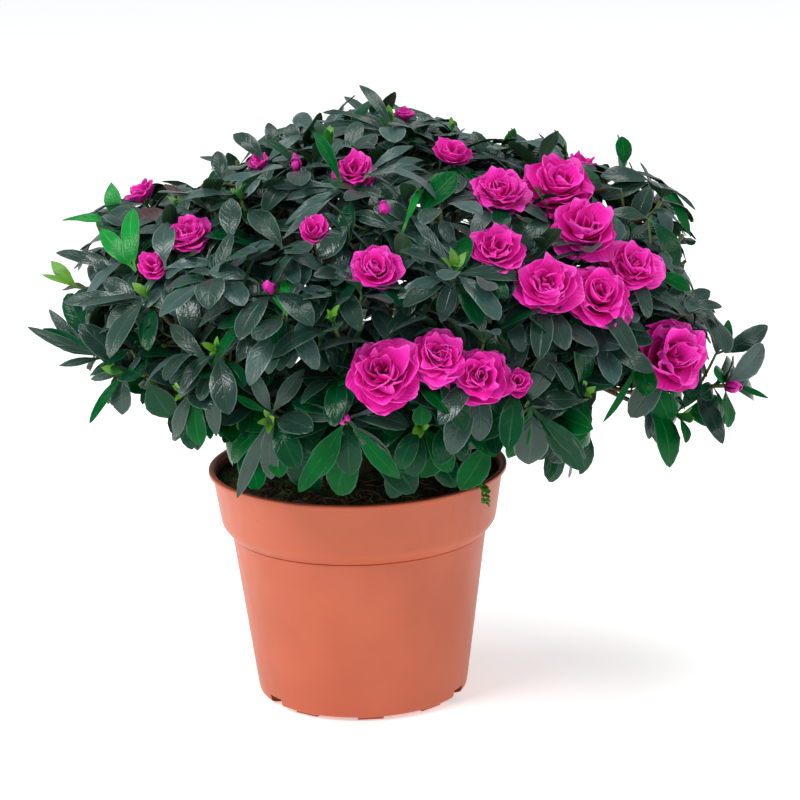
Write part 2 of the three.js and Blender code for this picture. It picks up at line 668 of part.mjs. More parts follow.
const azalea = new THREE.Group();
azalea.add(meshOf("pot", potSolid(), terracottaPlastic));
azalea.add(meshOf("soil", soilSolid(), peat));
azalea.add(meshOf("trunk", trunkSolid(0), bark));
const trunkRoom = trunkSolid(FIT);
for (const mass of masses) {
  const whole = limb(mass.bough, taper(BOUGH.root, BOUGH.tip), 6, 4);
  const bough = mass.leaves === 1 ? whole : joined([whole.subtract(trunkRoom)]);
  azalea.add(meshOf(`bough_${mass.name}`, bough, bark));
}
for (const mass of masses) {
  azalea.add(meshOf(`foliage_${mass.name}`, massSolid(mass), foliage));
}

export default azalea;
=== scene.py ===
# %% [markdown]
# # A florist's azalea in its nursery pot
#
# The plant is a low dome of leafy twigs on a short forked stem, with double magenta blooms. All of it
# grows by one rule: boughs leave the stem, twigs leave the boughs, and each twig ends in a whorl of
# leaves, a bloom or a bud. The solids were made by that rule. Here it is written again and carried on
# to bark, side twigs, leaves and petals. Lengths are in millimetres until a mesh is made.

import bpy
import numpy as np
from mathutils import Matrix, Vector


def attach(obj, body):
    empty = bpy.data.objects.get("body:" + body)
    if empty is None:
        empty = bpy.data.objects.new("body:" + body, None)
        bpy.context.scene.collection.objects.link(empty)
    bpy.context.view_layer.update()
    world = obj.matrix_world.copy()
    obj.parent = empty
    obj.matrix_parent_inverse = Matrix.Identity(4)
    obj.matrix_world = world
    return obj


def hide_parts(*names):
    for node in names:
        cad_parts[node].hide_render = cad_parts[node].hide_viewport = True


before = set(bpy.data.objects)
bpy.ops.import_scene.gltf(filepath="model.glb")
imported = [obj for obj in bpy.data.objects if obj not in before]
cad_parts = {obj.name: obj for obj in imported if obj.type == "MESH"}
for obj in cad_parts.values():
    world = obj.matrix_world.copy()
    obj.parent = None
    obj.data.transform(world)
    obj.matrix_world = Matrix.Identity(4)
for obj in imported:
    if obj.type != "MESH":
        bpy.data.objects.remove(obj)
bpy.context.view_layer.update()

# %% [markdown]
# ## The camera
#
# The pot's rim and foot are seen as ellipses, and how flat they are gives the camera's height. It looks
# down by 15 degrees from a metre and a half, through a long lens, and it is rolled by about a degree.

# %% Camera
CAMERA_AIM = Vector((0.0206, 0, 0.1412))
CAMERA_DISTANCE = 1.5
CAMERA_RISE = np.radians(14.96)
CAMERA_ROLL = np.radians(1.36)
LENS = 144.5

camera = bpy.data.objects.new("camera", bpy.data.cameras.new("camera"))
bpy.context.scene.collection.objects.link(camera)
camera.data.lens = LENS
back = Vector((0, -np.cos(CAMERA_RISE), np.sin(CAMERA_RISE)))
level = Vector((0, np.sin(CAMERA_RISE), np.cos(CAMERA_RISE)))
right = Vector((1, 0, 0)) * np.cos(CAMERA_ROLL) - level * np.sin(CAMERA_ROLL)
above = Vector((1, 0, 0)) * np.sin(CAMERA_ROLL) + level * np.cos(CAMERA_ROLL)
turn = Matrix((right, above, back)).transposed()
camera.matrix_world = Matrix.Translation(CAMERA_AIM + back * CAMERA_DISTANCE) @ turn.to_4x4()
bpy.context.scene.camera = camera
print("camera at", tuple(camera.location))

# %% [markdown]
# ## Light
#
# A pale, slightly cool room lights the plant from all round. A soft lamp from the upper left makes the
# highlights on the leaves. A low one straight from the left shows as the pale stripe down the left of
# the pot, and two more fill in the right and the top.

# %% Light
bpy.context.scene.view_settings.view_transform = "Standard"
ROOM_STRENGTH = 0.47
ROOM_COLOUR = (0.95, 0.99, 1.0, 1)

world = bpy.data.worlds.new("pale_room")
world.use_nodes = True
world.node_tree.nodes["Background"].inputs["Color"].default_value = ROOM_COLOUR
world.node_tree.nodes["Background"].inputs["Strength"].default_value = ROOM_STRENGTH
bpy.context.scene.world = world


def soft_lamp(name, place, size, power):
    """A square lamp that faces the middle of the plant."""
    lamp = bpy.data.objects.new(name, bpy.data.lights.new(name, "AREA"))
    bpy.context.scene.collection.objects.link(lamp)
    lamp.data.size = size
    lamp.data.energy = power
    lamp.location = place
    lamp.rotation_euler = (Vector(place) - CAMERA_AIM).to_track_quat("Z", "Y").to_euler()
    return lamp


soft_lamp("key_lamp", (-1.1, -1.0, 1.5), 0.7, 21)
soft_lamp("left_lamp", (-1.7, 0.1, 0.7), 0.7, 7)
soft_lamp("fill_lamp", (1.5, -0.9, 0.9), 0.8, 6)
soft_lamp("top_lamp", (0.1, 0.2, 1.8), 0.9, 11)
print("room and four lamps")

# %% [markdown]
# ## Helpers for materials
#
# Each finish is a short chain of nodes. A small function adds a node and fills its inputs, with a
# number or with another node's output, so that each material below reads as a list of what it does.

# %% Material helpers
def add(material, kind, inputs=None, **settings):
    """Adds a node, sets its settings, and fills its inputs with numbers or links."""
    node = material.node_tree.nodes.new(kind)
    for name, value in settings.items():
        setattr(node, name, value)
    for name, value in (inputs or {}).items():
        if isinstance(value, bpy.types.NodeSocket):
            material.node_tree.links.new(value, node.inputs[name])
        else:
            node.inputs[name].default_value = value
    return node


def finish(name, roughness, gloss=0.5):
    """A new material and its shader. The shader's plain numbers are set on its own sockets."""
    material = bpy.data.materials.new(name)
    material.use_nodes = True
    shader = material.node_tree.nodes["Principled BSDF"]
    shader.inputs["Roughness"].default_value = roughness
    shader.inputs["Specular IOR Level"].default_value = gloss
    return material, shader


def sums(material, operation, first, second=0.0, third=0.0):
    """One Math node: the operation on two or three values."""
    return add(material, "ShaderNodeMath", {0: first, 1: second, 2: third}, operation=operation).outputs[0]


def step(material, value, low, high):
    """A smooth step from 0 at the low value to 1 at the high one."""
    inputs = {"Value": value, "From Min": low, "From Max": high}
    return add(material, "ShaderNodeMapRange", inputs, interpolation_type="SMOOTHSTEP").outputs[0]


def object_places(material):
    """Object coordinates, in metres."""
    return add(material, "ShaderNodeTexCoord").outputs["Object"]


def noise(material, scale, detail=3.0, stretch=(1, 1, 1)):
    """Noise on object coordinates, with the scale in lumps per metre."""
    inputs = {"Vector": object_places(material), "Scale": stretch}
    mapped = add(material, "ShaderNodeMapping", inputs).outputs[0]
    inputs = {"Vector": mapped, "Scale": scale, "Detail": detail}
    return add(material, "ShaderNodeTexNoise", inputs).outputs["Fac"]


def cells(material, scale):
    """The distance to the nearest of scattered points, with the scale in points per metre."""
    inputs = {"Vector": object_places(material), "Scale": scale}
    return add(material, "ShaderNodeTexVoronoi", inputs).outputs["Distance"]


def mixed(material, share, first, second):
    """One colour turning into another by a share from 0 to 1."""
    return add(material, "ShaderNodeMix", {0: share, 6: first, 7: second}, data_type="RGBA").outputs[2]


def relief(material, shader, height, distance, strength=1.0):
    """Bump from a height between 0 and 1, which stands for the distance in metres."""
    inputs = {"Height": height, "Distance": distance, "Strength": strength}
    bump = add(material, "ShaderNodeBump", inputs).outputs[0]
    material.node_tree.links.new(bump, shader.inputs["Normal"])


def paint(material, shader, colour):
    """Gives the surface the colour that a node puts out."""
    material.node_tree.links.new(colour, shader.inputs["Base Color"])


def grained(name, roughness, gloss, colours, scale, detail, stretch=(1, 1, 1), bump=0.0):
    """A material of two colours that are mixed by noise. The noise also raises it by the bump, in metres."""
    material, shader = finish(name, roughness, gloss)
    grain = noise(material, scale, detail, stretch)
    paint(material, shader, mixed(material, grain, *colours))
    if bump:
        relief(material, shader, grain, bump)
    return material, shader


# %% [markdown]
# ## Helpers for meshes
#
# Shapes are worked out as whole arrays of places. One function turns such an array into a mesh. Another
# closes a thin sheet, such as a leaf: a grid above, the same grid a little lower, and one shared rim.

# %% Mesh helpers
MM = 0.001


def piece(name, places, faces, materials, slot, which=0, maps=None, sharp=80):
    """An object from places in millimetres and rows of four corners. A row whose last two corners are
    the same is a triangle. which is the number of each face's material, maps is a UV for each place, and
    an edge that turns by more than sharp degrees is shaded as sharp."""
    faces = np.asarray(faces).reshape(-1, 4)
    used = np.ones(faces.shape, bool)
    used[:, 3] = faces[:, 3] != faces[:, 2]
    corners = faces[used]
    sides = used.sum(axis=1)
    mesh = bpy.data.meshes.new(name)
    mesh.vertices.add(len(places))
    mesh.vertices.foreach_set("co", (np.asarray(places) * MM).astype(np.float32).ravel())
    mesh.loops.add(len(corners))
    mesh.loops.foreach_set("vertex_index", corners.astype(np.int32))
    mesh.polygons.add(len(faces))
    mesh.polygons.foreach_set("loop_start", (np.cumsum(sides) - sides).astype(np.int32))
    numbers = np.broadcast_to(which, len(faces)).astype(np.int32)
    mesh.polygons.foreach_set("material_index", numbers)
    mesh.update(calc_edges=True)
    if maps is not None:
        layer = mesh.uv_layers.new(name="surface")
        layer.uv.foreach_set("vector", np.asarray(maps)[corners].astype(np.float32).ravel())
    mesh.validate()
    mesh.shade_smooth()
    mesh.set_sharp_from_angle(angle=np.radians(sharp))
    for material in materials:
        mesh.materials.append(material)
    made = bpy.data.objects.new(name, mesh)
    bpy.context.scene.collection.objects.link(made)
    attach(made, "root")
    print(name, "has", int((sides - 2).sum()), "triangles")
    return made


def grid_faces(rows, columns, wrap=False):
    """Corners of each square of a grid of places, row by row. wrap joins the last column to the first."""
    row = np.arange(rows - 1)[:, None] * columns
    column = np.arange(columns if wrap else columns - 1)[None, :]
    onward = (column + 1) % columns
    four = [row + column, row + columns + column, row + columns + onward, row + onward]
    return np.stack(np.broadcast_arrays(*four), axis=-1).reshape(-1, 4)


def repeated(faces, count, size):
    """The same faces for each of count copies of a shape that has size places."""
    return (faces[None] + (np.arange(count) * size)[:, None, None]).reshape(-1, 4)


def sheets(grids, thickness):
    """Closed thin sheets from an array of grids: copy, row, column, xyz. The under side is the upper one
    moved back along its normals, except at the rim, where the two share their places. Gives the places,
    the faces, whether each face is above, and each place's number in its grid."""
    count, rows, columns, _ = grids.shape
    normal = np.cross(np.gradient(grids, axis=1), np.gradient(grids, axis=2))
    normal /= np.maximum(np.linalg.norm(normal, axis=-1, keepdims=True), 1e-9)
    below = (grids - normal * thickness)[:, 1:-1, 1:-1].reshape(count, -1, 3)
    number = np.arange(rows * columns).reshape(rows, columns)
    under = number.copy()
    under[1:-1, 1:-1] = rows * columns + np.arange((rows - 2) * (columns - 2)).reshape(rows - 2, columns - 2)
    upper = grid_faces(rows, columns)
    lower = under.ravel()[upper][:, ::-1]
    size = rows * columns + (rows - 2) * (columns - 2)
    places = np.concatenate([grids.reshape(count, -1, 3), below], axis=1).reshape(-1, 3)
    faces = repeated(np.concatenate([upper, lower]), count, size)
    is_upper = np.tile(np.repeat([True, False], len(upper)), count)
    back_to = np.concatenate([number.ravel(), number[1:-1, 1:-1].ravel()])
    return places, faces, is_upper, np.tile(back_to, count)


def sheet_map(along, across, back_to):
    """A UV for each place of such sheets: its share of the length and, from edge to edge, of the width."""
    flat = np.stack(np.broadcast_arrays(along[:, None], 0.5 + 0.5 * across[None, :]), axis=-1)
    return flat.reshape(-1, 2)[back_to]


# %% [markdown]
# ## Helpers for curves and turned shapes
#
# A stem, a twig or a fibre is a tube along a quadratic curve through three points. The pot and the peat
# are profiles turned about the upright axis. Both are rings of places, with a middle place at each end.

# %% Curve helpers
def unit(vectors):
    """The same ways with a length of 1."""
    return vectors / np.linalg.norm(vectors, axis=-1, keepdims=True)


def facing(axis, way):
    """The way a blade faces: along the axis as far as it can, square to the way that it grows."""
    return unit(axis - way * (axis @ way))


def bezier(points, shares):
    """Places along quadratic curves through three points each, at shares from 0 to 1."""
    t = np.asarray(shares)[:, None]
    a, b, c = (points[..., i, :][..., None, :] for i in range(3))
    return a * (1 - t) ** 2 + b * 2 * t * (1 - t) + c * t**2


def bezier_way(points, shares):
    """The unit tangents of such curves."""
    t = np.asarray(shares)[:, None]
    a, b, c = (points[..., i, :][..., None, :] for i in range(3))
    return unit((b - a) * (1 - t) + (c - b) * t)


def tube_faces(rows, sides):
    """Faces of a closed tube: squares between its rings, and triangles round a middle place at each end.
    The two middle places follow the rings."""
    side = np.arange(sides)
    onward = (side + 1) % sides
    last = (rows - 1) * sides
    middle = np.full(sides, rows * sides)
    foot = np.stack([middle, onward, side, side], axis=-1)
    head = np.stack([middle + 1, last + side, last + onward, last + onward], axis=-1)
    return np.concatenate([grid_faces(rows, sides, wrap=True)[:, ::-1], foot, head])


def tubes(curves, radii, sides):
    """Closed tubes along quadratic curves. radii holds the radius for curve, row and side. Each ring
    stands across its curve."""
    count, rows = radii.shape[:2]
    shares = np.linspace(0, 1, rows)
    centres = bezier(curves, shares)
    ways = bezier_way(curves, shares)
    chord = unit(curves[:, 2] - curves[:, 0])
    off = np.where(np.abs(chord[:, 2:]) > 0.7, [[1.0, 0, 0]], [[0, 0, 1.0]])
    first = np.cross(off, chord)[:, None]
    first = unit(first - ways * (ways * first).sum(-1, keepdims=True))
    second = np.cross(ways, first)
    angle = np.linspace(0, 2 * np.pi, sides, endpoint=False)[:, None]
    rings = first[:, :, None] * np.cos(angle) + second[:, :, None] * np.sin(angle)
    rings = centres[:, :, None] + rings * np.broadcast_to(radii, (count, rows, sides))[..., None]
    places = np.concatenate([rings.reshape(count, -1, 3), centres[:, [0, -1]]], axis=1)
    return places.reshape(-1, 3), repeated(tube_faces(rows, sides), count, rows * sides + 2)


LATTICE_MIX = np.array([12.9898, 78.233, 37.719])
LATTICE_SCALE = 43758.5453


def lumps(places, size, seed):
    """Smooth noise between -1 and 1: chance values on a lattice of that size, blended between them. The
    chance value of a lattice point is what a large multiple of a sine leaves past a whole number."""
    cell = np.floor(places / size)
    part = places / size - cell
    part = part * part * (3 - 2 * part)
    total = 0
    for corner in np.ndindex(2, 2, 2):
        at = cell + corner
        value = np.sin(at @ LATTICE_MIX + seed * 4.137) * LATTICE_SCALE
        weight = np.where(np.array(corner) == 1, part, 1 - part).prod(axis=-1)
        total = total + weight * (value - np.floor(value))
    return 2 * total - 1


def turned(profile, sides):
    """A profile of radius and height turned about the upright axis, closed at both ends on it."""
    angle = np.linspace(0, 2 * np.pi, sides, endpoint=False)
    radius, height = profile[1:-1, 0][:, None], profile[1:-1, 1][:, None]
    rings = np.stack([radius * np.cos(angle), radius * np.sin(angle), height + 0 * angle], axis=-1)
    places = np.concatenate([rings.reshape(-1, 3), [[0, 0, profile[0, 1]], [0, 0, profile[-1, 1]]]])
    return places, tube_faces(len(radius), sides)


def rounded(profile, radii, points=4):
    """The profile with each inner corner replaced by a short curve, which starts and ends at its radius
    from the corner."""
    profile = np.asarray(profile, float)
    before = unit(profile[:-2] - profile[1:-1])
    after = unit(profile[2:] - profile[1:-1])
    reach = np.asarray(radii, float)[:, None]
    corner = profile[1:-1]
    curves = np.stack([corner + before * reach, corner, corner + after * reach], axis=1)
    bent = bezier(curves, np.linspace(0, 1, points)).reshape(-1, 2)
    return np.concatenate([profile[:1], bent, profile[-1:]])


# %% [markdown]
# ## The floor
#
# A plain pale floor, far wider than the view, so that no edge or horizon shows behind the plant. It
# glows a little, like a light table, which keeps the shadow on it pale.

# %% Floor
FLOOR_COLOURS = (0.93, 0.93, 0.93, 1), (0.96, 0.96, 0.96, 1)
FLOOR_GLOW = 0.44
FLOOR_HALF = 9000

pale, pale_shader = grained("pale_floor", 0.9, 0.1, FLOOR_COLOURS, 30, 2)
pale_shader.inputs["Emission Color"].default_value = (1, 1, 1, 1)
pale_shader.inputs["Emission Strength"].default_value = FLOOR_GLOW
flat = np.array([[-1, -1, 0], [1, -1, 0], [1, 1, 0], [-1, 1, 0]]) * FLOOR_HALF
floor_mesh = bpy.data.meshes.new("floor")
floor_mesh.from_pydata((flat * MM).tolist(), [], [(0, 1, 2, 3)])
floor_mesh.materials.append(pale)
floor = bpy.data.objects.new("floor", floor_mesh)
bpy.context.scene.collection.objects.link(floor)
print("floor", 2 * FLOOR_HALF * MM, "m wide")

# %% [markdown]
# ## The pot's plastic
#
# Thin moulded plastic in terracotta colour: matt, a little uneven, with a few dark specks of peat. The
# inner wall is stained, and its base colour is painted darker for the shade inside the pot. Noise on
# object coordinates gives the unevenness, and a much finer one the specks.

# %% Pot plastic
TERRACOTTA = (0.47, 0.084, 0.027, 1)
TERRACOTTA_PALE = (0.52, 0.101, 0.036, 1)
# the inner wall's darker terracotta is painted shade inside the pot
TERRACOTTA_SHADED = (0.34, 0.058, 0.024, 1)
STAIN = (0.18, 0.040, 0.020, 1)
SPECK = (0.16, 0.05, 0.03, 1)

plastic, plastic_shader = finish("terracotta_plastic", 0.42, gloss=0.55)
uneven = step(plastic, noise(plastic, 28, 4), 0.3, 0.7)
specks = step(plastic, noise(plastic, 420, 2), 0.765, 0.80)
body_colour = mixed(plastic, uneven, TERRACOTTA, TERRACOTTA_PALE)
paint(plastic, plastic_shader, mixed(plastic, specks, body_colour, SPECK))
scuffs = noise(plastic, 160, 5, (1, 1, 0.25))
rough = add(plastic, "ShaderNodeMapRange", {"Value": scuffs, "To Min": 0.34, "To Max": 0.52}).outputs[0]
plastic.node_tree.links.new(rough, plastic_shader.inputs["Roughness"])
relief(plastic, plastic_shader, noise(plastic, 700, 2), 0.00012, 0.5)

# inner wall and floor: real stains on a base that is painted darker as shade inside the pot
shaded_soiled, shaded_soiled_shader = finish("shaded_soiled_plastic", 0.6, gloss=0.3)
stained = step(shaded_soiled, noise(shaded_soiled, 90, 5), 0.42, 0.62)
paint(shaded_soiled, shaded_soiled_shader, mixed(shaded_soiled, stained, TERRACOTTA_SHADED, STAIN))
relief(shaded_soiled, shaded_soiled_shader, noise(shaded_soiled, 500, 3), 0.0002, 0.6)
print("pot finishes made")

# %% [markdown]
# ## The pot's shell
#
# One turned shell: a tapered body, a wider collar that ends in a fine groove, and a thickened lip. Its
# corners are rounded as a mould leaves them. The sizes are those of the solid that it replaces.

# %% Shell
POT_HEIGHT = 111
RIM_RADIUS = 70
COLLAR_RADIUS = 68.1
COLLAR_FOOT = (64.8, 86.4)
LEDGE = (59.9, 80.2)
BASE_RADIUS = 49.8
BASE_ROUNDING = 4
WALL = 1.5
LIP_HEIGHT = 2.4
LIP_WIDTH = 2.6
PAD_HEIGHT = 1.2

# Each point of the profile: its radius, its height, and how far from it the rounding starts.
outside = [
    (0, PAD_HEIGHT, 0),
    (BASE_RADIUS - BASE_ROUNDING, PAD_HEIGHT, 1.5),
    (BASE_RADIUS - 0.6, PAD_HEIGHT + 1.2, 1.0),
    (BASE_RADIUS, PAD_HEIGHT + BASE_ROUNDING, 1.5),
    (LEDGE[0] - 0.1, LEDGE[1] - 0.6, 0.1),
    (LEDGE[0] - 0.7, LEDGE[1], 0.1),
    (LEDGE[0] + 0.8, LEDGE[1] + 0.2, 0.3),
    (COLLAR_FOOT[0] - 0.6, COLLAR_FOOT[1] - 1.6, 1.2),
    (COLLAR_FOOT[0], COLLAR_FOOT[1] + 0.6, 1.0),
    (COLLAR_RADIUS, POT_HEIGHT - LIP_HEIGHT, 0.4),
    (RIM_RADIUS, POT_HEIGHT - LIP_HEIGHT + 0.5, 0.5),
    (RIM_RADIUS, POT_HEIGHT, 0.8),
    (RIM_RADIUS - LIP_WIDTH, POT_HEIGHT, 0.8),
]
inside = [
    (COLLAR_RADIUS - WALL, POT_HEIGHT - LIP_HEIGHT, 0.5),
    (COLLAR_FOOT[0] - WALL, COLLAR_FOOT[1], 1),
    (LEDGE[0] - WALL, LEDGE[1], 1),
    (BASE_RADIUS - WALL, PAD_HEIGHT + BASE_ROUNDING, 1.5),
    (BASE_RADIUS - BASE_ROUNDING, PAD_HEIGHT + WALL, 1.5),
    (0, PAD_HEIGHT + WALL, 0),
]
path = np.array(outside + inside, float)
shell_profile = rounded(path[:, :2], path[1:-1, 2])
SHELL_SIDES = 128
shell_places, shell_faces = turned(shell_profile, SHELL_SIDES)
print("the shell's profile has", len(shell_profile), "points")

# %% [markdown]
# ## Notches and pads
#
# Three drain notches are cut out of the foot with a Boolean, and low pads stand under it: nine in a ring
# and a round one in the middle. The faces of the inner wall and floor take the stained finish with painted
# shade.

# %% Notches and pads
NOTCH_SIZE = (9, 12, 9.2)
NOTCHES = [64.5, 184.5, 304.5]
PAD_SIZE = (12, 6, 1.8)
PAD_RADIUS = 42.5
PADS = 4.5 + 40 * np.arange(9)
MIDDLE_PAD = [(0, 0), (8.6, 0), (9, 0.3), (9, 1.8), (0, 1.8)]
PAD_EDGE = 0.3


def block(across, deep, tall, angle, radius, height):
    """A box whose middle stands at a radius and height, turned to face out at an angle from the front."""
    corners = (np.array(list(np.ndindex(2, 2, 2))) - 0.5) * (deep, across, tall) + (radius, 0, height)
    way = np.radians(angle - 90)
    x = corners[:, 0] * np.cos(way) - corners[:, 1] * np.sin(way)
    y = corners[:, 0] * np.sin(way) + corners[:, 1] * np.cos(way)
    faces = [[0, 1, 3, 2], [4, 6, 7, 5], [0, 4, 5, 1], [2, 3, 7, 6], [0, 2, 6, 4], [1, 5, 7, 3]]
    return np.stack([x, y, corners[:, 2]], axis=-1), np.array(faces)


def together(shapes):
    """Several shapes of places and faces as one."""
    starts = np.cumsum([0] + [len(places) for places, _ in shapes[:-1]])
    all_faces = [faces + start for (_, faces), start in zip(shapes, starts)]
    return np.concatenate([places for places, _ in shapes]), np.concatenate(all_faces)


def face_vectors(mesh, attribute):
    """One vector for each face of a mesh: its centre or its normal."""
    values = np.empty(len(mesh.polygons) * 3)
    mesh.polygons.foreach_get(attribute, values)
    return values.reshape(-1, 3)


pot = piece("pot_shell", shell_places, shell_faces, [plastic, shaded_soiled], "pot")
notch_shapes = [block(*NOTCH_SIZE, angle, BASE_RADIUS, PAD_HEIGHT) for angle in NOTCHES]
cutter_places, cutter_faces = together(notch_shapes)
cutter_mesh = bpy.data.meshes.new("notch_cutter")
cutter_mesh.from_pydata((cutter_places * MM).tolist(), [], cutter_faces.tolist())
cutter = bpy.data.objects.new("notch_cutter", cutter_mesh)
bpy.context.scene.collection.objects.link(cutter)
cut = pot.modifiers.new("notches", "BOOLEAN")
cut.operation = "DIFFERENCE"
cut.object = cutter
bpy.context.view_layer.update()
cut_mesh = bpy.data.meshes.new_from_object(pot.evaluated_get(bpy.context.evaluated_depsgraph_get()))
pot.modifiers.clear()
pot.data = cut_mesh
bpy.data.objects.remove(cutter)
cut_mesh.shade_smooth()
cut_mesh.set_sharp_from_angle(angle=np.radians(35))

middles = face_vectors(cut_mesh, "center")
normals = face_vectors(cut_mesh, "normal")
inward = (middles[:, :2] * normals[:, :2]).sum(axis=1) < -1e-4
deep_in = (middles[:, 2] < (POT_HEIGHT - LIP_HEIGHT) * MM) & (inward | (normals[:, 2] > 0.5))
on_ledge = np.hypot(middles[:, 0], middles[:, 1]) > (LEDGE[0] - 1) * MM
cut_mesh.polygons.foreach_set("material_index", (deep_in & ~(on_ledge & ~inward)).astype(np.int32))
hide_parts("pot")

pad_shapes = [block(*PAD_SIZE, angle, PAD_RADIUS, PAD_SIZE[2] / 2) for angle in PADS]
middle_pad = turned(np.array(MIDDLE_PAD, float), 48)
pads = piece("pot_pads", *together([*pad_shapes, middle_pad]), [plastic], "pot", sharp=30)
edges = pads.modifiers.new("edges", "BEVEL")
edges.width = PAD_EDGE * MM
edges.segments = 2
print("pot shell has", len(middles), "faces after the notches")

# %% [markdown]
# ## The peat
#
# The root ball is dark peat, with crumbs, pale fibres and a skin of moss. Its body is turned like the
# solid that it replaces. Its top is then raised and lowered by two sizes of smooth noise, and a Voronoi
# pattern in the material breaks it into crumbs.

# %% Peat
FIT = 0.3
SOIL_EDGE = 106.2
SOIL_TOP = 107.5
SOIL_FLAT = 14
INSET = WALL + FIT
PEAT_COLOURS = (0.018, 0.012, 0.008, 1), (0.120, 0.072, 0.040, 1)
MOSS_COLOURS = (0.014, 0.045, 0.010, 1), (0.050, 0.130, 0.028, 1)

peat, peat_shader = finish("peat", 0.95, gloss=0.2)
clods = noise(peat, 260, 6)
crumbs = cells(peat, 520.0)
dark_peat = mixed(peat, step(peat, clods, 0.35, 0.7), *PEAT_COLOURS)
mossy = step(peat, noise(peat, 55, 4), 0.47, 0.60)
paint(peat, peat_shader, mixed(peat, mossy, dark_peat, mixed(peat, crumbs, *MOSS_COLOURS)))
relief(peat, peat_shader, sums(peat, "ADD", clods, crumbs), 0.0012)

collar_slope = (COLLAR_RADIUS - COLLAR_FOOT[0]) / (POT_HEIGHT - LIP_HEIGHT - COLLAR_FOOT[1])
soil_radius = COLLAR_FOOT[0] - INSET + collar_slope * (SOIL_EDGE - COLLAR_FOOT[1])


def soil_level(radius):
    """The height of the peat: flat round the stem, then falling a little to the wall."""
    at = np.array([0, SOIL_FLAT, 0.42 * soil_radius, 0.72 * soil_radius, soil_radius])
    rise = np.array([1, 1, 0.88, 0.55, 0])
    return SOIL_EDGE + (SOIL_TOP - SOIL_EDGE) * np.interp(radius, at, rise)


def soil_bumps(places):
    """How far the peat stands over or under its level: lumps of 7 mm, with smaller ones of 2.6 mm."""
    return 1.3 * lumps(places, 7.0, 1) + 0.7 * lumps(places, 2.6, 2)


top_radii = np.linspace(soil_radius, 0, 42)
soil_profile = np.concatenate([
    [(0, PAD_HEIGHT + INSET), (BASE_RADIUS - BASE_ROUNDING - FIT, PAD_HEIGHT + INSET)],
    [(BASE_RADIUS - INSET, PAD_HEIGHT + BASE_ROUNDING + FIT), (LEDGE[0] - INSET, LEDGE[1] + FIT)],
    [(COLLAR_FOOT[0] - INSET, COLLAR_FOOT[1] + FIT)],
    np.stack([top_radii, soil_level(top_radii)], axis=-1),
])
soil_places, soil_faces = turned(soil_profile, 150)
on_top = (soil_places[:, 2] > SOIL_EDGE - 1) & (np.hypot(*soil_places[:, :2].T) < soil_radius - 0.5)
soil_places[on_top, 2] += soil_bumps(soil_places[on_top] * (1, 1, 0))
soil = piece("peat_surface", soil_places, soil_faces, [peat], "soil")
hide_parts("soil")

# %% [markdown]
# ## Fibres on the peat
#
# Bits of root and coir lie on the peat in all ways, pale against it. Each is a thin curved tube whose
# ends rest on the surface, and a few stand up a little. They are joined into one mesh.

# %% Fibres
FIBRE_COUNT = 130
FIBRE_COLOURS = (0.10, 0.055, 0.028, 1), (0.36, 0.24, 0.13, 1)
FIBRE_RISE = [0.6, 2.2, 0.6]
FIBRE_RADII = [0.16, 0.26, 0.26, 0.16]
fibre, _ = grained("fibre", 0.85, 0.2, FIBRE_COLOURS, 300, 3)

dice = np.random.default_rng(4)
fibre_radius = (soil_radius - 6) * np.sqrt(dice.uniform(0.06, 1, FIBRE_COUNT))
fibre_angle = dice.uniform(0, 2 * np.pi, FIBRE_COUNT)
fibre_way = dice.uniform(0, 2 * np.pi, FIBRE_COUNT)
fibre_half = dice.uniform(2, 6, FIBRE_COUNT)[:, None]
fibre_bend = dice.uniform(-4, 4, FIBRE_COUNT)[:, None]
fibre_middle = np.stack([fibre_radius * np.cos(fibre_angle), fibre_radius * np.sin(fibre_angle)], axis=-1)
along_way = np.stack([np.cos(fibre_way), np.sin(fibre_way)], axis=-1)
across_way = np.stack([-np.sin(fibre_way), np.cos(fibre_way)], axis=-1)
ends = [fibre_middle - along_way * fibre_half, fibre_middle + along_way * fibre_half]
flat_points = np.stack([ends[0], fibre_middle + across_way * fibre_bend, ends[1]], axis=1)
rise = soil_level(np.linalg.norm(flat_points, axis=-1)) + FIBRE_RISE
fibre_curves = np.concatenate([flat_points, rise[..., None]], axis=-1)
fibre_radii = np.broadcast_to(np.array(FIBRE_RADII)[None, :, None], (FIBRE_COUNT, len(FIBRE_RADII), 1))
piece("fibres", *tubes(fibre_curves, fibre_radii, 4), [fibre], "soil")

# %% [markdown]
# ## The rule of the crown
#
# The crown is a low dome about a heart. A dome's point in any way out is found by dividing that way by
# the dome's three reaches. The places of the blooms and shoots on the near side are given as they are
# seen, across and up from the camera's aim, and each is found again by following its line of sight
# until it meets the dome.

# %% Dome
HEART = np.array([17.0, 0, 187])
REACH_BACK = np.array([136.0, 118, 62])
REACH_ON = np.array([152.0, 124, 82])
UP = np.array([0.0, 0, 1])
EYE_DISTANCE = 1500
EYE_RISE = np.radians(15)  # the solids' rule takes the camera's rise in whole degrees, and no roll
AIM = np.array([20.6, 0, 141.2])
AWAY = np.array([0, np.cos(EYE_RISE), -np.sin(EYE_RISE)])
PICTURE_UP = np.array([0, np.sin(EYE_RISE), np.cos(EYE_RISE)])
EYE = AIM - AWAY * EYE_DISTANCE


def seeded(number):
    """A repeatable run of numbers: each state is the last one times 48271, over 2147483647."""
    state = [(number * 7919 + 104729) % 2147483647]

    def draw(low=0.0, high=1.0):
        """The next number, between low and high."""
        state[0] = state[0] * 48271 % 2147483647
        return low + (high - low) * state[0] / 2147483647

    for _ in range(4):
        draw()
    return draw


def reaches(away):
    """The dome's three reaches on the side where places lie, seen from its heart."""
    return np.where(away < 0, REACH_BACK, REACH_ON)


def reach_along(way):
    """How far the dome reaches from its heart, that way."""
    return 1 / np.linalg.norm(way / reaches(way), axis=-1)


def dome_share(places):
    """How far out places lie: 0 at the heart and 1 on the dome."""
    away = places - HEART
    return np.linalg.norm(away / reaches(away), axis=-1)


def outward(place):
    """The way that the dome's surface faces at a place."""
    away = place - HEART
    return unit(away / reaches(away) ** 2)


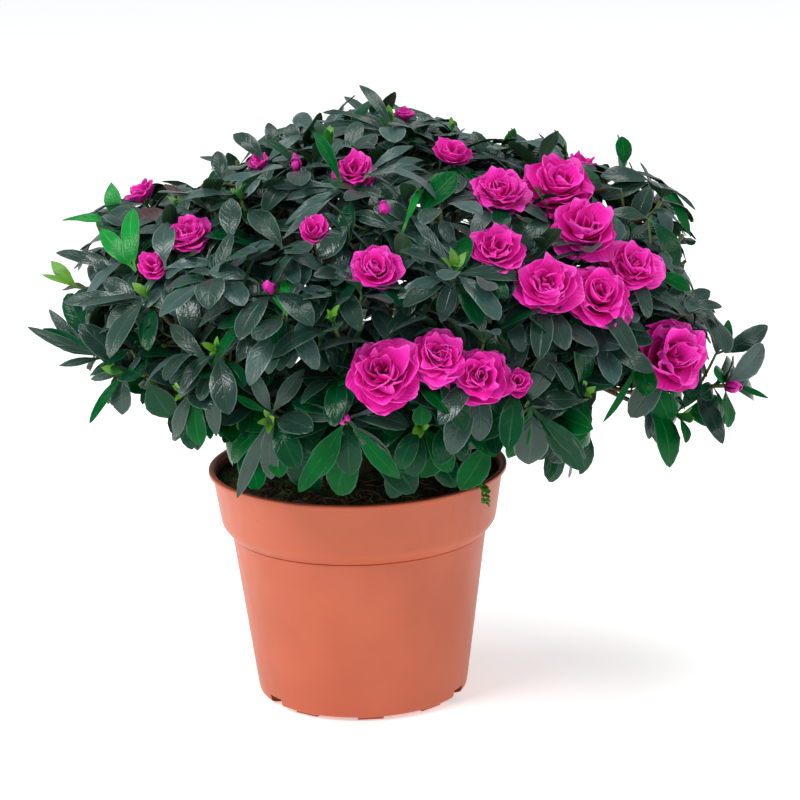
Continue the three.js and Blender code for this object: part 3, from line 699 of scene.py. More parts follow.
def sight(across, up):
    """The line from the eye to a place on the picture plane, which stands across the view at the aim."""
    return AIM + (across, 0, 0) + PICTURE_UP * up - EYE


def seen_at(across, up):
    """The place on the near side that is seen there, or the dome's nearest to that line of sight."""
    places = EYE + unit(sight(across, up)) * (EYE_DISTANCE + np.arange(-200, 201, 2))[:, None]
    share = dome_share(places)
    inside = np.flatnonzero(share <= 1)
    return places[inside[0] if len(inside) else np.argmin(share)]


def picture(places):
    """Where places are seen, across and up from the aim, and how far behind it they lie."""
    away = np.atleast_2d(places) - AIM
    scale = EYE_DISTANCE / (EYE_DISTANCE + away @ AWAY)
    return np.stack([away[:, 0] * scale, away @ PICTURE_UP * scale, away @ AWAY], axis=-1)


print("the dome is", REACH_BACK + REACH_ON, "mm wide, deep and high")

# %% [markdown]
# ## Open sky
#
# The outline of a real crown has bays in it. Each row is a round place where the ground behind shows:
# across, up and radius. No leaf grows in front of the large ones. At the small ones, which the solids
# are too coarse for, leaves are cut shorter or left out.

# %% Open sky
SKY = np.array([
    [99, -7, 9], [101, -25, 14], [149, 56, 12], [160, 93, 20], [140, 121, 16], [-117, 126, 18],
    [-84, 136, 12], [-160, 98, 12], [-61, 146, 12], [-131, -16, 12], [-112, -24, 9], [-98, -34, 12],
    [170, -20, 13], [24, 139, 8], [36, 136, 9], [50, 133, 9], [70, 134, 8], [88, 130, 12],
    [96, 121, 7], [118, 117, 8], [126, 111, 8], [138, 103, 9], [-108, 112, 6], [-97, 118, 6],
    [-92, 129, 8], [-30, 148, 8], [-160, -6, 12], [-163, 12, 7], [60, -40, 8], [-151, 82, 7],
])
SMALL_SKY = np.array([
    [8, 143, 7], [44, 127, 7], [53, 142, 8], [63, 127, 7], [84, 119, 5], [95, 114, 7],
    [108, 129, 7], [122, 105, 4], [131, 101, 5], [141, 92, 5], [147, 76, 8], [138, 66, 4],
    [156, 37, 7], [149, 47, 5], [135, -30, 7], [106, -1, 6], [88, -44, 8], [80, -49, 7],
    [-147, 104, 8], [-118, 105, 5], [-104, 106, 4], [-93, 108, 6], [-142, 80, 4], [-168, 60, 6],
    [-152, 10, 9], [-166, 28, 5], [-136, -4, 5], [-123, -3, 5], [-115, -14, 8], [-104, -20, 6],
    [-88, -22, 5], [-161, 52, 4], [-72, 117, 5],
])


def in_sky(places, sky=SKY):
    """Whether any place is seen in front of the open sky."""
    seen = picture(places)[:, None, :2]
    return bool((np.linalg.norm(seen - sky[:, :2], axis=-1) < sky[:, 2]).any())


print(len(SKY), "large and", len(SMALL_SKY), "small places of open sky")

# %% [markdown]
# ## Stem, boughs and masses
#
# Twelve masses make the crown: a low ring of six, a high ring of five, and the top. A bough runs from
# the stem to halfway to each mass, and a thinner stem goes on from it inside the mass. All of them are
# quadratic curves, so each is kept as three points.

# %% Stem and masses
TRUNK_RISE = 44
TRUNK_LEAN = 9
trunk_foot = np.array([0, 0, SOIL_TOP + FIT])
trunk = np.array([trunk_foot, trunk_foot + UP * TRUNK_RISE / 2, [TRUNK_LEAN, 0, SOIL_TOP + TRUNK_RISE]])


def ring_of(level_name, names, first, rise, share, leaves_at, arch):
    """Masses evenly round the heart: name, middle, how far up the stem their bough leaves it, and arch."""
    made = []
    for i, name in enumerate(names):
        azimuth = np.radians(first + i * 360 / len(names))
        tilt = np.radians(rise)
        way = np.array([np.cos(azimuth) * np.cos(tilt), np.sin(azimuth) * np.cos(tilt), np.sin(tilt)])
        middle = HEART + way * reach_along(way) * share
        made.append((f"{level_name}_{name}", middle, leaves_at + 0.12 * ((i + 1) % 2), arch))
    return made


low_names = ["front", "front_right", "back_right", "back", "back_left", "front_left"]
high_names = ["front_right", "right", "back", "left", "front_left"]
masses = ring_of("low", low_names, first=-90, rise=-14, share=0.72, leaves_at=0.34, arch=7)
masses += ring_of("high", high_names, first=-54, rise=30, share=0.76, leaves_at=0.66, arch=-1)
masses.append(("top", HEART + UP * 0.55 * REACH_ON[2], 1, 0))
MIDDLES = np.array([middle for _, middle, _, _ in masses])

boughs = []
stems = []
for name, middle, leaves_at, arch in masses:
    top_way = bezier_way(trunk, [1.0])[0]
    root = bezier(trunk, [leaves_at])[0] + (top_way * FIT if name == "top" else 0)
    tip = root + (middle - root) * 0.5
    bend = root + (tip - root) / 2 + UP * arch
    if name == "top":
        bend = root + top_way * np.linalg.norm(tip - root) / 2
    boughs.append([root, bend, tip])
    onward = unit(tip - bend)
    end = middle + unit(middle - tip) * 0.16 * np.linalg.norm(middle - tip)
    start = tip + onward * FIT
    stems.append([start, start + onward * 0.4 * np.linalg.norm(end - start), end])
boughs = np.array(boughs)
stems = np.array(stems)
print(len(boughs), "boughs")

# %% [markdown]
# ## Room between them
#
# Nothing may grow into the pot, the stem or a bough, and what belongs to a mass stays inside it. The
# distance to a limb is taken to the straight pieces that its curve is cut into.

# %% Room
MARGIN = 1.5
OWN_MARGIN = 0.25
TRUNK_ROOM = 9.5
BOUGH_ROOM = 2.4
LIMB_PIECES = 8
limb_shares = np.linspace(0, 1, LIMB_PIECES + 1)
limb_points = np.concatenate([bezier(trunk, limb_shares)[None], bezier(boughs, limb_shares)])
LIMB_FROM = limb_points[:, :-1].reshape(-1, 3)
LIMB_SPAN = (limb_points[:, 1:] - limb_points[:, :-1]).reshape(-1, 3)
LIMB_RADIUS = np.repeat([TRUNK_ROOM] + [BOUGH_ROOM] * len(boughs), LIMB_PIECES)


def is_clear(places):
    """Whether all places keep off the pot, the stem and the boughs."""
    places = np.atleast_2d(places)
    over_pot = np.hypot(places[:, 0], places[:, 1]) < RIM_RADIUS + MARGIN
    in_pot = over_pot & (places[:, 2] < POT_HEIGHT + MARGIN)
    away = places[:, None] - LIMB_FROM
    share = ((away * LIMB_SPAN).sum(-1) / (LIMB_SPAN**2).sum(-1)).clip(0, 1)
    gap = np.linalg.norm(away - LIMB_SPAN * share[..., None], axis=-1) - LIMB_RADIUS
    return not in_pot.any() and bool((gap > MARGIN).all())


def in_space(places, own):
    """Whether all places are nearer to their own mass's middle than to any other's."""
    others = np.delete(MIDDLES, own, axis=0)
    apart = np.linalg.norm(others - MIDDLES[own], axis=-1)
    places = np.atleast_2d(places)
    past = ((places[:, None] - others) ** 2).sum(-1) - ((places - MIDDLES[own]) ** 2).sum(-1)[:, None]
    return bool((past / (2 * apart) > OWN_MARGIN).all())


print(len(LIMB_RADIUS), "straight pieces of limbs")

# %% [markdown]
# ## Shoots
#
# A shoot is a twig's growing end. Those on the near side stand where they are seen: blooms with their
# widths, half-open ones, buds, young green shoots and leafy ones. The rest follow the seeded rule, which
# tries 1600 random ways out of the heart and keeps a tip only where no other tip is too near.

# %% Shoots that are seen
BLOOMS = [
    [130, 19, 42], [-8, 14, 39], [77, 101, 40], [95, 48, 36], [88, 80, 35], [70, 54, 34],
    [111, 62, 32], [38, 11, 31], [49, 98, 30], [47, 71, 28], [18, 21, 28], [-10, 63, 26],
    [-97, 81, 24], [-19, 109, 23],
]
HALF_OPEN = [
    [27, 114, 19], [-118, 98, 17], [-113, 65, 16], [-38, 80, 16], [55, 7, 15], [5, 132, 12], [-63, 112, 12],
]
BUDS = [[-46, 109, 7], [-5, 87, 8], [-59, 52, 8], [153, 3, 8], [-26, -8, 7]]
YOUNG_SHOOTS = [[-134, 88], [-122, 69], [-143, 54], [53, 118], [107, 104], [21, 88], [-54, 40], [59, -4]]
LEAFY_SHOOTS = [
    [27, 58], [-141, 28], [-116, 50], [-84, 24], [-59, -8], [134, 74], [124, 90], [140, 43],
    [9, -12], [82, -12], [-72, 95], [-98, 6], [-84, 58], [-30, 36], [112, 0], [128, -10],
    [-2, 126], [-128, 16], [126, 66], [68, -16], [87, -15],
]
SHOOT_ROOM = 12.8


class End:
    """A growing end: its tip, its axis, and two ways square to the axis."""

    def __init__(self, tip, axis):
        self.tip = tip
        self.axis = axis
        self.across = unit(np.cross([1, 0, 0] if abs(axis[2]) > 0.9 else UP, axis))
        self.over = np.cross(axis, self.across)

    def radial(self, azimuth):
        """The way square to the axis at an azimuth round it."""
        return self.across * np.cos(azimuth) + self.over * np.sin(azimuth)

    def leaning(self, azimuth, lean):
        """The way that leans out from the axis by an angle, at an azimuth round it."""
        return self.axis * np.cos(lean) + self.radial(azimuth) * np.sin(lean)


class Shoot(End):
    """A shoot on the dome, with its kind, its flower's width, and the room that it keeps free. A flower
    grows from a tip that lies 0.22 of its width behind its place."""

    def __init__(self, place, kind, width):
        axis = unit(outward(place) * 0.6 + UP * 0.5)
        super().__init__(place - axis * 0.22 * width, axis)
        self.kind = kind
        self.width = width
        self.room = max(SHOOT_ROOM, width / 2 + 7)


flower_places = {"bloom": BLOOMS, "half": HALF_OPEN, "bud": BUDS}
leaf_places = {"young": YOUNG_SHOOTS, "leafy": LEAFY_SHOOTS}
near_flowers = [Shoot(seen_at(across, up), kind, width)
                for kind, rows in flower_places.items() for across, up, width in rows]
shoots = near_flowers + [Shoot(seen_at(across, up), kind, 0)
                         for kind, rows in leaf_places.items() for across, up in rows]
print(len(shoots), "shoots where they are seen")

# %% All other shoots
WHORL_LEAVES = 5
SECTOR = 2 * np.pi / WHORL_LEAVES
TIP_TRIES = 1600
FAR_SIDE = 10
FAR_BLOOMS = 0.22
FAR_FLOWERS = 0.34
NOT_YOUNG = 0.9

draw = seeded(17)
for _ in range(TIP_TRIES):
    height = draw(-0.56, 1)
    azimuth = draw(0, 2 * np.pi)
    share = draw(0.88, 0.99)
    chance = draw()
    size = draw()
    out = np.sqrt(1 - height * height)
    way = np.array([out * np.cos(azimuth), out * np.sin(azimuth), height])
    place = HEART + way * reach_along(way) * share
    kind = "young" if chance > NOT_YOUNG else "leafy"
    if place[1] > FAR_SIDE and chance < FAR_FLOWERS:
        kind = "bloom" if chance < FAR_BLOOMS else "half"
    width = {"bloom": 26 + 13 * size, "half": 12 + 7 * size}.get(kind, 0)
    shoot = Shoot(place, kind, width)
    tips = np.array([other.tip for other in shoots])
    rooms = np.array([other.room for other in shoots])
    if (np.linalg.norm(tips - shoot.tip, axis=1) > rooms + shoot.room).all() and not in_sky(shoot.tip):
        shoots.append(shoot)

for number, shoot in enumerate(shoots):
    shoot.number = number
    shoot.first = seeded(500 + number)() * SECTOR
    shoot.home = int(np.argmin(np.linalg.norm(MIDDLES - shoot.tip, axis=1)))
print(len(shoots), "shoots in all")

# %% [markdown]
# ## Twigs to the shoots, and clear views
#
# A twig runs from the stem in its mass to each shoot. A shoot that no twig can reach is left out. Leaves
# may not stand in front of a flower of the near side, nor inside any flower, so the flowers' places on
# the picture are kept, with their depths.

# %% Views and twigs
WINDOW_SHARE = 0.42
BUD_WIDTH = 10


def hides(places, windows, radii):
    """Whether any place is seen in front of a window, which is a place on the picture with its depth."""
    seen = picture(places)[:, None]
    inside = np.linalg.norm(seen[..., :2] - windows[:, :2], axis=-1) < radii
    return bool((inside & (seen[..., 2] < windows[:, 2])).any())


WINDOWS = picture([shoot.tip + shoot.axis * 0.4 * shoot.width for shoot in near_flowers])
WINDOW_RADII = np.array([WINDOW_SHARE * shoot.width for shoot in near_flowers])
open_flowers = [shoot for shoot in shoots if shoot.width > BUD_WIDTH]
FLOWER_MIDDLES = np.array([shoot.tip + shoot.axis * 0.35 * shoot.width for shoot in open_flowers])
FLOWER_RADII = np.array([WINDOW_SHARE * shoot.width for shoot in open_flowers])


def hides_flower(places, share=1.0):
    """Whether any place is seen in front of a flower of the near side, or a share of its width."""
    return hides(places, WINDOWS, WINDOW_RADII * share)


def in_flower(places):
    """Whether any place is inside a flower."""
    return bool((np.linalg.norm(places[:, None] - FLOWER_MIDDLES, axis=-1) < FLOWER_RADII).any())


def twig_to(shoot):
    """The curve from the mass's stem to the shoot's tip: bent along the shoot's axis, or else straight."""
    start, _, end = stems[shoot.home]
    onward = end - start
    reach = (shoot.tip - start) @ onward / (onward @ onward)
    root = bezier(stems[shoot.home], [np.clip(reach - 0.35, 0.2, 0.94)])[0]
    length = np.linalg.norm(shoot.tip - root)
    bends = [shoot.tip - shoot.axis * 0.4 * length, (root + shoot.tip) / 2]
    for bend in bends:
        curve = np.array([root, bend, shoot.tip])
        places = bezier(curve, np.linspace(0, 1, 7))
        if in_space(places, shoot.home) and is_clear(places[2:]):
            return curve
    return None


for shoot in shoots:
    shoot.curve = twig_to(shoot)
shoots = [shoot for shoot in shoots if shoot.curve is not None]
counts = {kind: sum(shoot.kind == kind for shoot in shoots) for kind in [*flower_places, *leaf_places]}
print(len(shoots), "shoots with twigs:", counts)

# %% [markdown]
# ## Bark
#
# The old wood is grey-brown and cracks lengthwise. The relief is in the mesh: each tube's radius follows
# smooth noise that is stretched along the limb. Finer grain comes from the material. One mesh replaces
# the stem and all the boughs, and the thin stems inside the masses belong to it too.

# %% Bark
BARK_COLOURS = (0.045, 0.030, 0.020, 1), (0.21, 0.150, 0.100, 1)
LICHEN = (0.16, 0.17, 0.12, 1)
TRUNK_SINK = np.array([[0, 0, -4.0], [0, 0, -2.0], [0, 0, 0]])
TRUNK_SHARES = np.linspace(0, 1, 46)
TRUNK_RADII = 6.2 - 2.0 * TRUNK_SHARES + 3.3 * (1 - TRUNK_SHARES) ** 6
BOUGH_RADII = np.linspace(2.45, 1.85, 30)
STEM_RADII = np.linspace(1.85, 1.25, 16)

bark, bark_shader = finish("bark", 0.88, gloss=0.25)
bark_grain = noise(bark, 240, 6, (1, 1, 0.3))
lichen = step(bark, noise(bark, 120, 3), 0.56, 0.68)
wood_colour = mixed(bark, bark_grain, *BARK_COLOURS)
paint(bark, bark_shader, mixed(bark, lichen, wood_colour, LICHEN))
relief(bark, bark_shader, bark_grain, 0.0008)


def bark_radii(base, sides, length, seed, depth):
    """Radii for each row and side: the base radius, raised and lowered by noise round and along a limb."""
    angle = np.linspace(0, 2 * np.pi, sides, endpoint=False)[None, :]
    along = np.linspace(0, length, len(base))[:, None]
    spots = np.stack(np.broadcast_arrays(6 * np.cos(angle), 6 * np.sin(angle), along * 0.35), axis=-1)
    return base[:, None] * (1 + depth * lumps(spots, 2.2, seed) + 0.5 * depth * lumps(spots, 0.9, seed + 50))


def limbs(curves, base, sides, length, seed, depth):
    """Tubes with bark along some curves, each with a seed of its own."""
    radii = [bark_radii(base, sides, length, seed + i, depth) for i in range(len(curves))]
    return tubes(curves, np.stack(radii), sides)


wood_shapes = [
    limbs((trunk + TRUNK_SINK)[None], TRUNK_RADII, sides=22, length=44, seed=3, depth=0.16),
    limbs(boughs, BOUGH_RADII, sides=12, length=50, seed=10, depth=0.14),
    limbs(stems, STEM_RADII, sides=8, length=40, seed=30, depth=0.12),
]
wood = piece("bark", *together(wood_shapes), [bark], "bark")
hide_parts("trunk", *[f"bough_{name}" for name, *_ in masses])

# %% [markdown]
# ## Sprigs that are seen
#
# The largest leaves of the near side stand where they are seen, as the blooms do. Each sprig has a foot
# on the dome, joined to the nearest shoot by a short twig, and leaves whose tips are given across and up,
# with the leaf's width and colour. Other leaves keep from in front of them.

# %% Sprigs
SPRIGS = [
    (120, 99, [(97, 104, 11, "slate"), (97, 93, 10, "slate"), (111, 80, 10, "slate"), (139, 75, 6, "green"),
               (137, 85, 5, "green"), (141, 87, 3, "slate")]),
    (107, 106, [(107, 121, 9, "green")]),
    (118, 82, [(133, 59, 11, "deep"), (100, 86, 7, "slate")]),
    (118, 56, [(138, 49, 8, "green")]),
    (131, 40, [(147, 48, 8, "slate"), (153, 41, 5, "slate"), (130, 51, 8, "slate")]),
    (148, 18, [(174, 30, 10, "slate"), (156, 34, 7, "green")]),
    (155, 4, [(172, -3, 3, "green")]),
    (117, 5, [(117, -22, 8, "slate"), (127, -15, 14, "green")]),
    (137, 2, [(151, -23, 10, "slate")]),
    (112, 16, [(95, -14, 3.5, "green")]),
    (-60, -5, [(-78, -45, 7, "slate"), (-62, -37, 9, "slate"), (-69, 15, 7, "slate"), (-45, 15, 8, "slate"),
               (-78, 4, 4, "green")]),
    (-25, -8, [(-44, -38, 12, "green"), (-49, -43, 9, "green"), (0, -39, 9, "green"), (-4, -29, 7, "slate"),
               (4, 1, 3, "slate"), (-50, -3, 8, "slate")]),
    (10, -1, [(10, -13, 9, "green")]),
    (61, -5, [(60, -33, 17, "slate"), (86, -36, 11, "deep"), (88, -31, 8, "deep"), (50, -30, 10, "green"),
              (29, -25, 6, "slate"), (90, -2, 2.5, "slate")]),
    (43, -18, [(27, -44, 14, "green")]),
    (-87, 18, [(-87, -16, 8, "slate"), (-108, 39, 8, "slate"), (-70, 43, 5, "green"), (-72, 36, 4, "slate")]),
    (-95, 9, [(-95, -21, 10, "green"), (-107, -16, 7, "slate")]),
    (-118, 13, [(-107, -7, 15, "deep")]),
    (-128, 16, [(-131, -4, 12, "slate"), (-146, -7, 5, "green"), (-145, 13, 4, "slate")]),
    (-138, 23, [(-174, 38, 6, "slate"), (-167, 37, 9, "deep"), (-165, 46, 6, "slate"), (-159, 20, 4, "slate"),
                (-112, 16, 5, "deep"), (-110, 34, 4, "green")]),
    (-119, 48, [(-158, 51, 8, "slate"), (-138, 60, 9, "slate"), (-91, 43, 6, "slate"), (-90, 50, 4, "slate"),
                (-138, 38, 9, "slate")]),
    (-128, 61, [(-161, 75, 6, "slate"), (-146, 73, 5, "slate")]),
    (-122, 63, [(-124, 94, 10, "young"), (-139, 84, 9, "young")]),
    (-130, 86, [(-133, 105, 9, "young"), (-156, 89, 5, "young")]),
    (-149, 56, [(-162, 69, 7, "fresh"), (-166, 63, 3, "fresh")]),
    (-108, 64, [(-108, 87, 12, "ashen"), (-86, 67, 6, "ashen")]),
    (-66, 57, [(-89, 64, 8, "ashen")]),
    (-52, 41, [(-52, 60, 5.5, "young"), (-61, 56, 4.5, "young")]),
    (-77, 75, [(-77, 97, 11, "slate")]),
    (-80, 103, [(-83, 119, 8, "slate")]),
    (-60, 112, [(-75, 128, 9, "slate"), (-44, 126, 6, "ashen")]),
    (-47, 118, [(-48, 131, 8, "slate")]),
    (-24, 99, [(-64, 102, 6, "ashen"), (-57, 95, 4, "ashen"), (-52, 85, 5, "ashen"), (-53, 78, 5, "ashen"),
               (-41, 99, 7, "ashen"), (-37, 128, 6, "green")]),
    (-58, 104, [(-82, 106, 5, "ashen")]),
    (0, 124, [(-15, 150, 6, "slate"), (-33, 138, 4, "slate"), (-37, 131, 5, "slate"),
              (24, 131, 3.5, "slate")]),
    (-14, 104, [(18, 108, 5, "ashen"), (9, 121, 5, "ashen"), (14, 114, 4, "ashen")]),
    (10, 85, [(29, 107, 13, "green")]),
    (3, 78, [(14, 103, 3.5, "young"), (-21, 89, 8, "slate")]),
    (-21, 83, [(-37, 67, 12, "slate")]),
    (27, 58, [(-2, 48, 7, "ashen"), (7, 88, 5, "ashen"), (20, 36, 9, "slate"), (60, 57, 8, "slate")]),
]

# %% Leaves of the sprigs
FORESHORT = 1.05  # a blade bends down along its length, so it is this much longer than it is seen
MOST_BEHIND = 0.35
VIEW_SPOTS = np.array([[0.4], [0.65], [0.9]])
LEAST_VIEW = 2.8  # a narrow leaf still needs a clear view this wide on either side


def sprig_leaves(foot, tips):
    """Leaves from one foot to tips that are given as seen: root, way, face, length, colour, width share.
    A tip lies as far behind the foot as the dome does there, up to a third of the leaf's seen length."""
    root = seen_at(*foot)
    towards = outward(root) * 0.5 + UP * 0.3 - AWAY * 0.7
    made = []
    for across, up, width, colour in tips:
        most = MOST_BEHIND * np.hypot(across - foot[0], up - foot[1])
        behind = ((seen_at(across, up) - root) @ AWAY).clip(-most, most)
        depth = EYE_DISTANCE + (root - AIM) @ AWAY + behind
        span = EYE + sight(across, up) * depth / EYE_DISTANCE - root
        length = np.linalg.norm(span) * FORESHORT
        way = span / length
        made.append((root, way, facing(towards, way), length, colour, width / length))
    return made


class Sprig:
    """A short twig from the nearest shoot to a sprig's foot."""

    def __init__(self, root):
        nearest = min(shoots, key=lambda shoot: np.linalg.norm(shoot.tip - root))
        start = bezier(nearest.curve, [0.8])[0]
        self.curve = np.array([start, (start + root) / 2 - UP * 1.5, root])


SPRIG_FEET = np.array([seen_at(across, up) for across, up, _ in SPRIGS])
sprigs = [Sprig(foot) for foot in SPRIG_FEET]
seen_leaves = [leaf for across, up, tips in SPRIGS for leaf in sprig_leaves((across, up), tips)]
seen_spots = [root + way * length * VIEW_SPOTS for root, way, _, length, _, _ in seen_leaves]
half_widths = [max(LEAST_VIEW, 0.4 * length * share) for *_, length, _, share in seen_leaves]
SEEN = picture(np.concatenate(seen_spots))
SEEN_RADII = np.repeat(half_widths, len(VIEW_SPOTS))


def hides_sprig(places):
    """Whether any place is seen in front of a sprig's leaf."""
    return hides(places, SEEN, SEEN_RADII)


print(len(seen_leaves), "leaves where they are seen")

# %% [markdown]
# ## Where the leaves grow
#
# First come the whorls of the solids, by the same rule: five leaves evenly round a tip, with a little
# chance in each. One that would lie on another leaf, leave its mass, or stand in front of open sky is
# tried steeper and shorter, and then left out. A leaf's spine is three places along it, which keep their
# distance from those of its neighbours. A real leaf twists on its stalk until its upper side faces the
# light, so each blade is turned some way up from its shoot's axis, and least at the right of the crown.

# %% Whorls
LEAF_TRIES = [(1, 1), (1, 0.72), (0.82, 0.9), (0.82, 0.5)]
FLAT_TRIES = [(1, 1.25), (0.82, 1.1)]
SPINE = np.array([[0.45], [0.7], [0.95]])
SPINE_FROM = 4  # in a leaf's corners, the spine's places follow the tip and three round the widest place
CUTS = (1, 0.8, 0.62)
WHORL_ROOM = 7
WHORL_SAG = 0.22
FLOWERS = ("bloom", "half")
LIGHT_ACROSS = [40, 90]
TO_LIGHT = [1.0, 0.3]
spines = {own: np.empty((0, 3)) for own in range(len(masses))}
leaves = []


def grow_leaf(shoot, root, azimuth, pitch, length, tries, apart, sag, own, kind):
    """Adds the first of the tries, each a share of the length and of the pitch, that has room. own is the
    mass that a leaf of the solids keeps to, or all for a leaf that only this script draws."""
    drawn = own == "all"
    for share, steeper in tries:
        way = unit(shoot.leaning(azimuth, pitch * steeper) - UP * sag)
        lit = facing(shoot.axis + UP * np.interp(root[0], LIGHT_ACROSS, TO_LIGHT), way)
        face = lit if drawn else facing(shoot.axis, way)
        size = share * length
        widest = root + way * 0.6 * size + face * 0.04 * size
        half = np.cross(face, way) * 0.3 * size
        tip = root + way * size - face * 0.08 * size
        spine = root + (tip - root) * SPINE
        corners = np.vstack([tip, widest + half, widest - half, widest + face * 0.8, spine])
        near = spines[own]
        if len(near) and np.linalg.norm(spine[:, None] - near, axis=-1).min() <= apart:
            continue
        if not is_clear(corners) or in_sky(corners) or hides_flower(corners, 0.8 if drawn else 1):
            continue
        if drawn and in_flower(corners):
            continue
        if not drawn and not in_space(corners, own):
            continue
        spines[own] = np.vstack([near, spine])
        for cut in CUTS:
            kept = root + (corners - root) * cut
            if in_sky(kept, SMALL_SKY) or in_flower(kept):
                continue
            if not hides_sprig(kept if drawn else kept[SPINE_FROM:]):
                leaves.append((root, way, lit, cut * size, kind, 0))
                break
        return


for shoot in shoots:
    draw = seeded(1000 + shoot.number)
    tries = FLAT_TRIES if shoot.kind in FLOWERS else LEAF_TRIES
    for i in range(WHORL_LEAVES):
        azimuth = shoot.first + (i + draw(0.34, 0.66)) * SECTOR
        pitch = np.radians(draw(55, 90))
        size = draw(28, 36)
        grow_leaf(shoot, shoot.tip, azimuth, pitch, size, tries, WHORL_ROOM, WHORL_SAG, shoot.home, "whorl")
print(len(leaves), "leaves in the whorls of the solids")

# %% [markdown]
# ## Second whorls and finer twigs
#
# A real crown is denser than its solids. Under each whorl stands a second one, turned by half a sector
# and flatter. Side twigs leave each twig and end in small whorls of their own. Near the crown's lower
# edge fewer of these grow, so that the eye can look in between the leaves that hang there.

# %% Side twigs
SIDE_TRIES = [(1, 1), (1, 0.75), (0.85, 1.15), (0.8, 0.6), (0.7, 0.9)]
OPEN_BELOW = 150
SECOND_BELOW = 6.5
LOW_ROOM = 4.2
LOW_SAG = 0.2
SIDE_TWIGS = 7
SIDE_LEAVES = 6
SIDE_ROOM = 3.1
SIDE_SAG = 0.15
UPRIGHT_OVER = 175
spines["all"] = np.vstack(list(spines.values()))


class SideShoot(End):
    """A finer twig's end, with the curve that leads to it."""

    def __init__(self, start, way, length, number):
        super().__init__(start + way * length, unit(way + UP * (0.7 if start[2] > UPRIGHT_OVER else 0.3)))
        self.curve = np.array([start, start + way * 0.5 * length - UP * 0.06 * length, self.tip])
        self.number = number


side_shoots = []
for shoot in shoots:
    draw = seeded(3000 + shoot.number)
    length = np.linalg.norm(shoot.curve[2] - shoot.curve[0])
    low_root = bezier(shoot.curve, [max(0.3, 1 - SECOND_BELOW / length)])[0]
    flattest = 100 if shoot.kind in FLOWERS else 92
    for i in range(WHORL_LEAVES):
        azimuth = shoot.first + (i + 0.5 + draw(0.34, 0.66)) * SECTOR
        pitch = np.radians(draw(72, flattest))
        size = draw(25, 33)
        if shoot.tip[2] > OPEN_BELOW:
            grow_leaf(shoot, low_root, azimuth, pitch, size, SIDE_TRIES, LOW_ROOM, LOW_SAG, "all", "whorl")
    for i in range(SIDE_TWIGS):
        at = draw(0.3, 0.86)
        start = bezier(shoot.curve, [at])[0]
        onward = bezier_way(shoot.curve, [at])[0]
        azimuth = shoot.first + (i + draw(0, 0.8)) * 2 * np.pi / SIDE_TWIGS
        way = unit(onward * 0.7 + shoot.radial(azimuth) * 0.75)
        side = SideShoot(start, way, draw(13, 24), 10 * shoot.number + i)
        furthest = 0.62 if side.tip[2] < OPEN_BELOW else 0.96
        if dome_share(side.tip) < furthest and is_clear(side.tip) and not in_sky(side.tip):
            side_shoots.append(side)

for side in side_shoots:
    draw = seeded(5000 + side.number)
    for i in range(SIDE_LEAVES):
        azimuth = (i + draw(0, 0.6)) * 2 * np.pi / SIDE_LEAVES
        pitch = np.radians(draw(45, 88))
        size = draw(21, 30)
        grow_leaf(side, side.tip, azimuth, pitch, size, SIDE_TRIES, SIDE_ROOM, SIDE_SAG, "all", "inner")
print(len(side_shoots), "side twigs and", len(leaves), "leaves")

# %% [markdown]
# ## Tufts
#
# Leafy tips hold a tuft of small new leaves. Young shoots hold a few longer, upright, bright green ones,
# except where a sprig stands that has its own.

# %% Tufts
SPRIG_ROOM = 22  # a young tuft keeps this far from a sprig's foot
TUFT_LEAVES = 4
tufts = []
for shoot in shoots:
    draw = seeded(7000 + shoot.number)
    young = shoot.kind == "young"
    has_sprig = np.linalg.norm(SPRIG_FEET - shoot.tip, axis=1).min() < SPRIG_ROOM
    if shoot.width > 0 or (young and has_sprig):
        continue
    for i in range(TUFT_LEAVES):
        azimuth = shoot.first + (i + draw(0.2, 0.8)) * 2 * np.pi / TUFT_LEAVES
        way = unit(shoot.leaning(azimuth, np.radians(draw(14, 42) if young else draw(10, 34))))
        size = draw(20, 30) if young else draw(7, 13)
        for share in (1, 0.62):
            blade = shoot.tip + way * share * size * SPINE
            if not (in_sky(blade) or in_sky(blade, SMALL_SKY) or hides_flower(blade) or hides_sprig(blade)):
                kind = "young" if young else "fresh"
                tufts.append((shoot.tip, way, facing(shoot.axis, way), share * size, kind, 0))
                break
leaves += tufts + seen_leaves
print(len(tufts), "leaves in tufts, and", len(leaves), "in all")

# %% [markdown]
# ## Twigs
#
# The twigs carry on from the stems in the masses. Their lower part is thin brown wood. Near the tip it
# is this year's growth, which is green, so the faces there take a second material.

# %% Twigs
TWIG_ROWS = 9
TWIG_SIDES = 6
TWIG_COLOURS = (0.055, 0.035, 0.020, 1), (0.17, 0.115, 0.06, 1)
GREEN_WOOD_COLOURS = (0.06, 0.10, 0.020, 1), (0.15, 0.20, 0.045, 1)
twig_wood, _ = grained("twig_wood", 0.8, 0.3, TWIG_COLOURS, 420, 4, (1, 1, 0.4), bump=0.0003)
green_wood, _ = grained("green_wood", 0.55, 0.4, GREEN_WOOD_COLOURS, 300, 3, bump=0.0002)


def twig_piece(name, ends, root_radius, tip_radius, green_from):
    """One mesh of tubes for many twigs, green from a share of the way along."""
    curves = np.array([end.curve for end in ends])
    radii = np.linspace(root_radius, tip_radius, TWIG_ROWS)[None, :, None]
    shape = tubes(curves, np.broadcast_to(radii, (len(curves), TWIG_ROWS, 1)), TWIG_SIDES)
    row = np.repeat(np.arange(TWIG_ROWS - 1), TWIG_SIDES)
    lids = np.repeat([False, True], TWIG_SIDES)
    green = np.concatenate([row / (TWIG_ROWS - 1) >= green_from, lids])
    return piece(name, *shape, [twig_wood, green_wood], "bark", which=np.tile(green, len(curves)))


twig_piece("twigs", shoots, root_radius=1.25, tip_radius=0.95, green_from=0.7)
twig_piece("side_twigs", side_shoots + sprigs, root_radius=0.85, tip_radius=0.6, green_from=0.5)

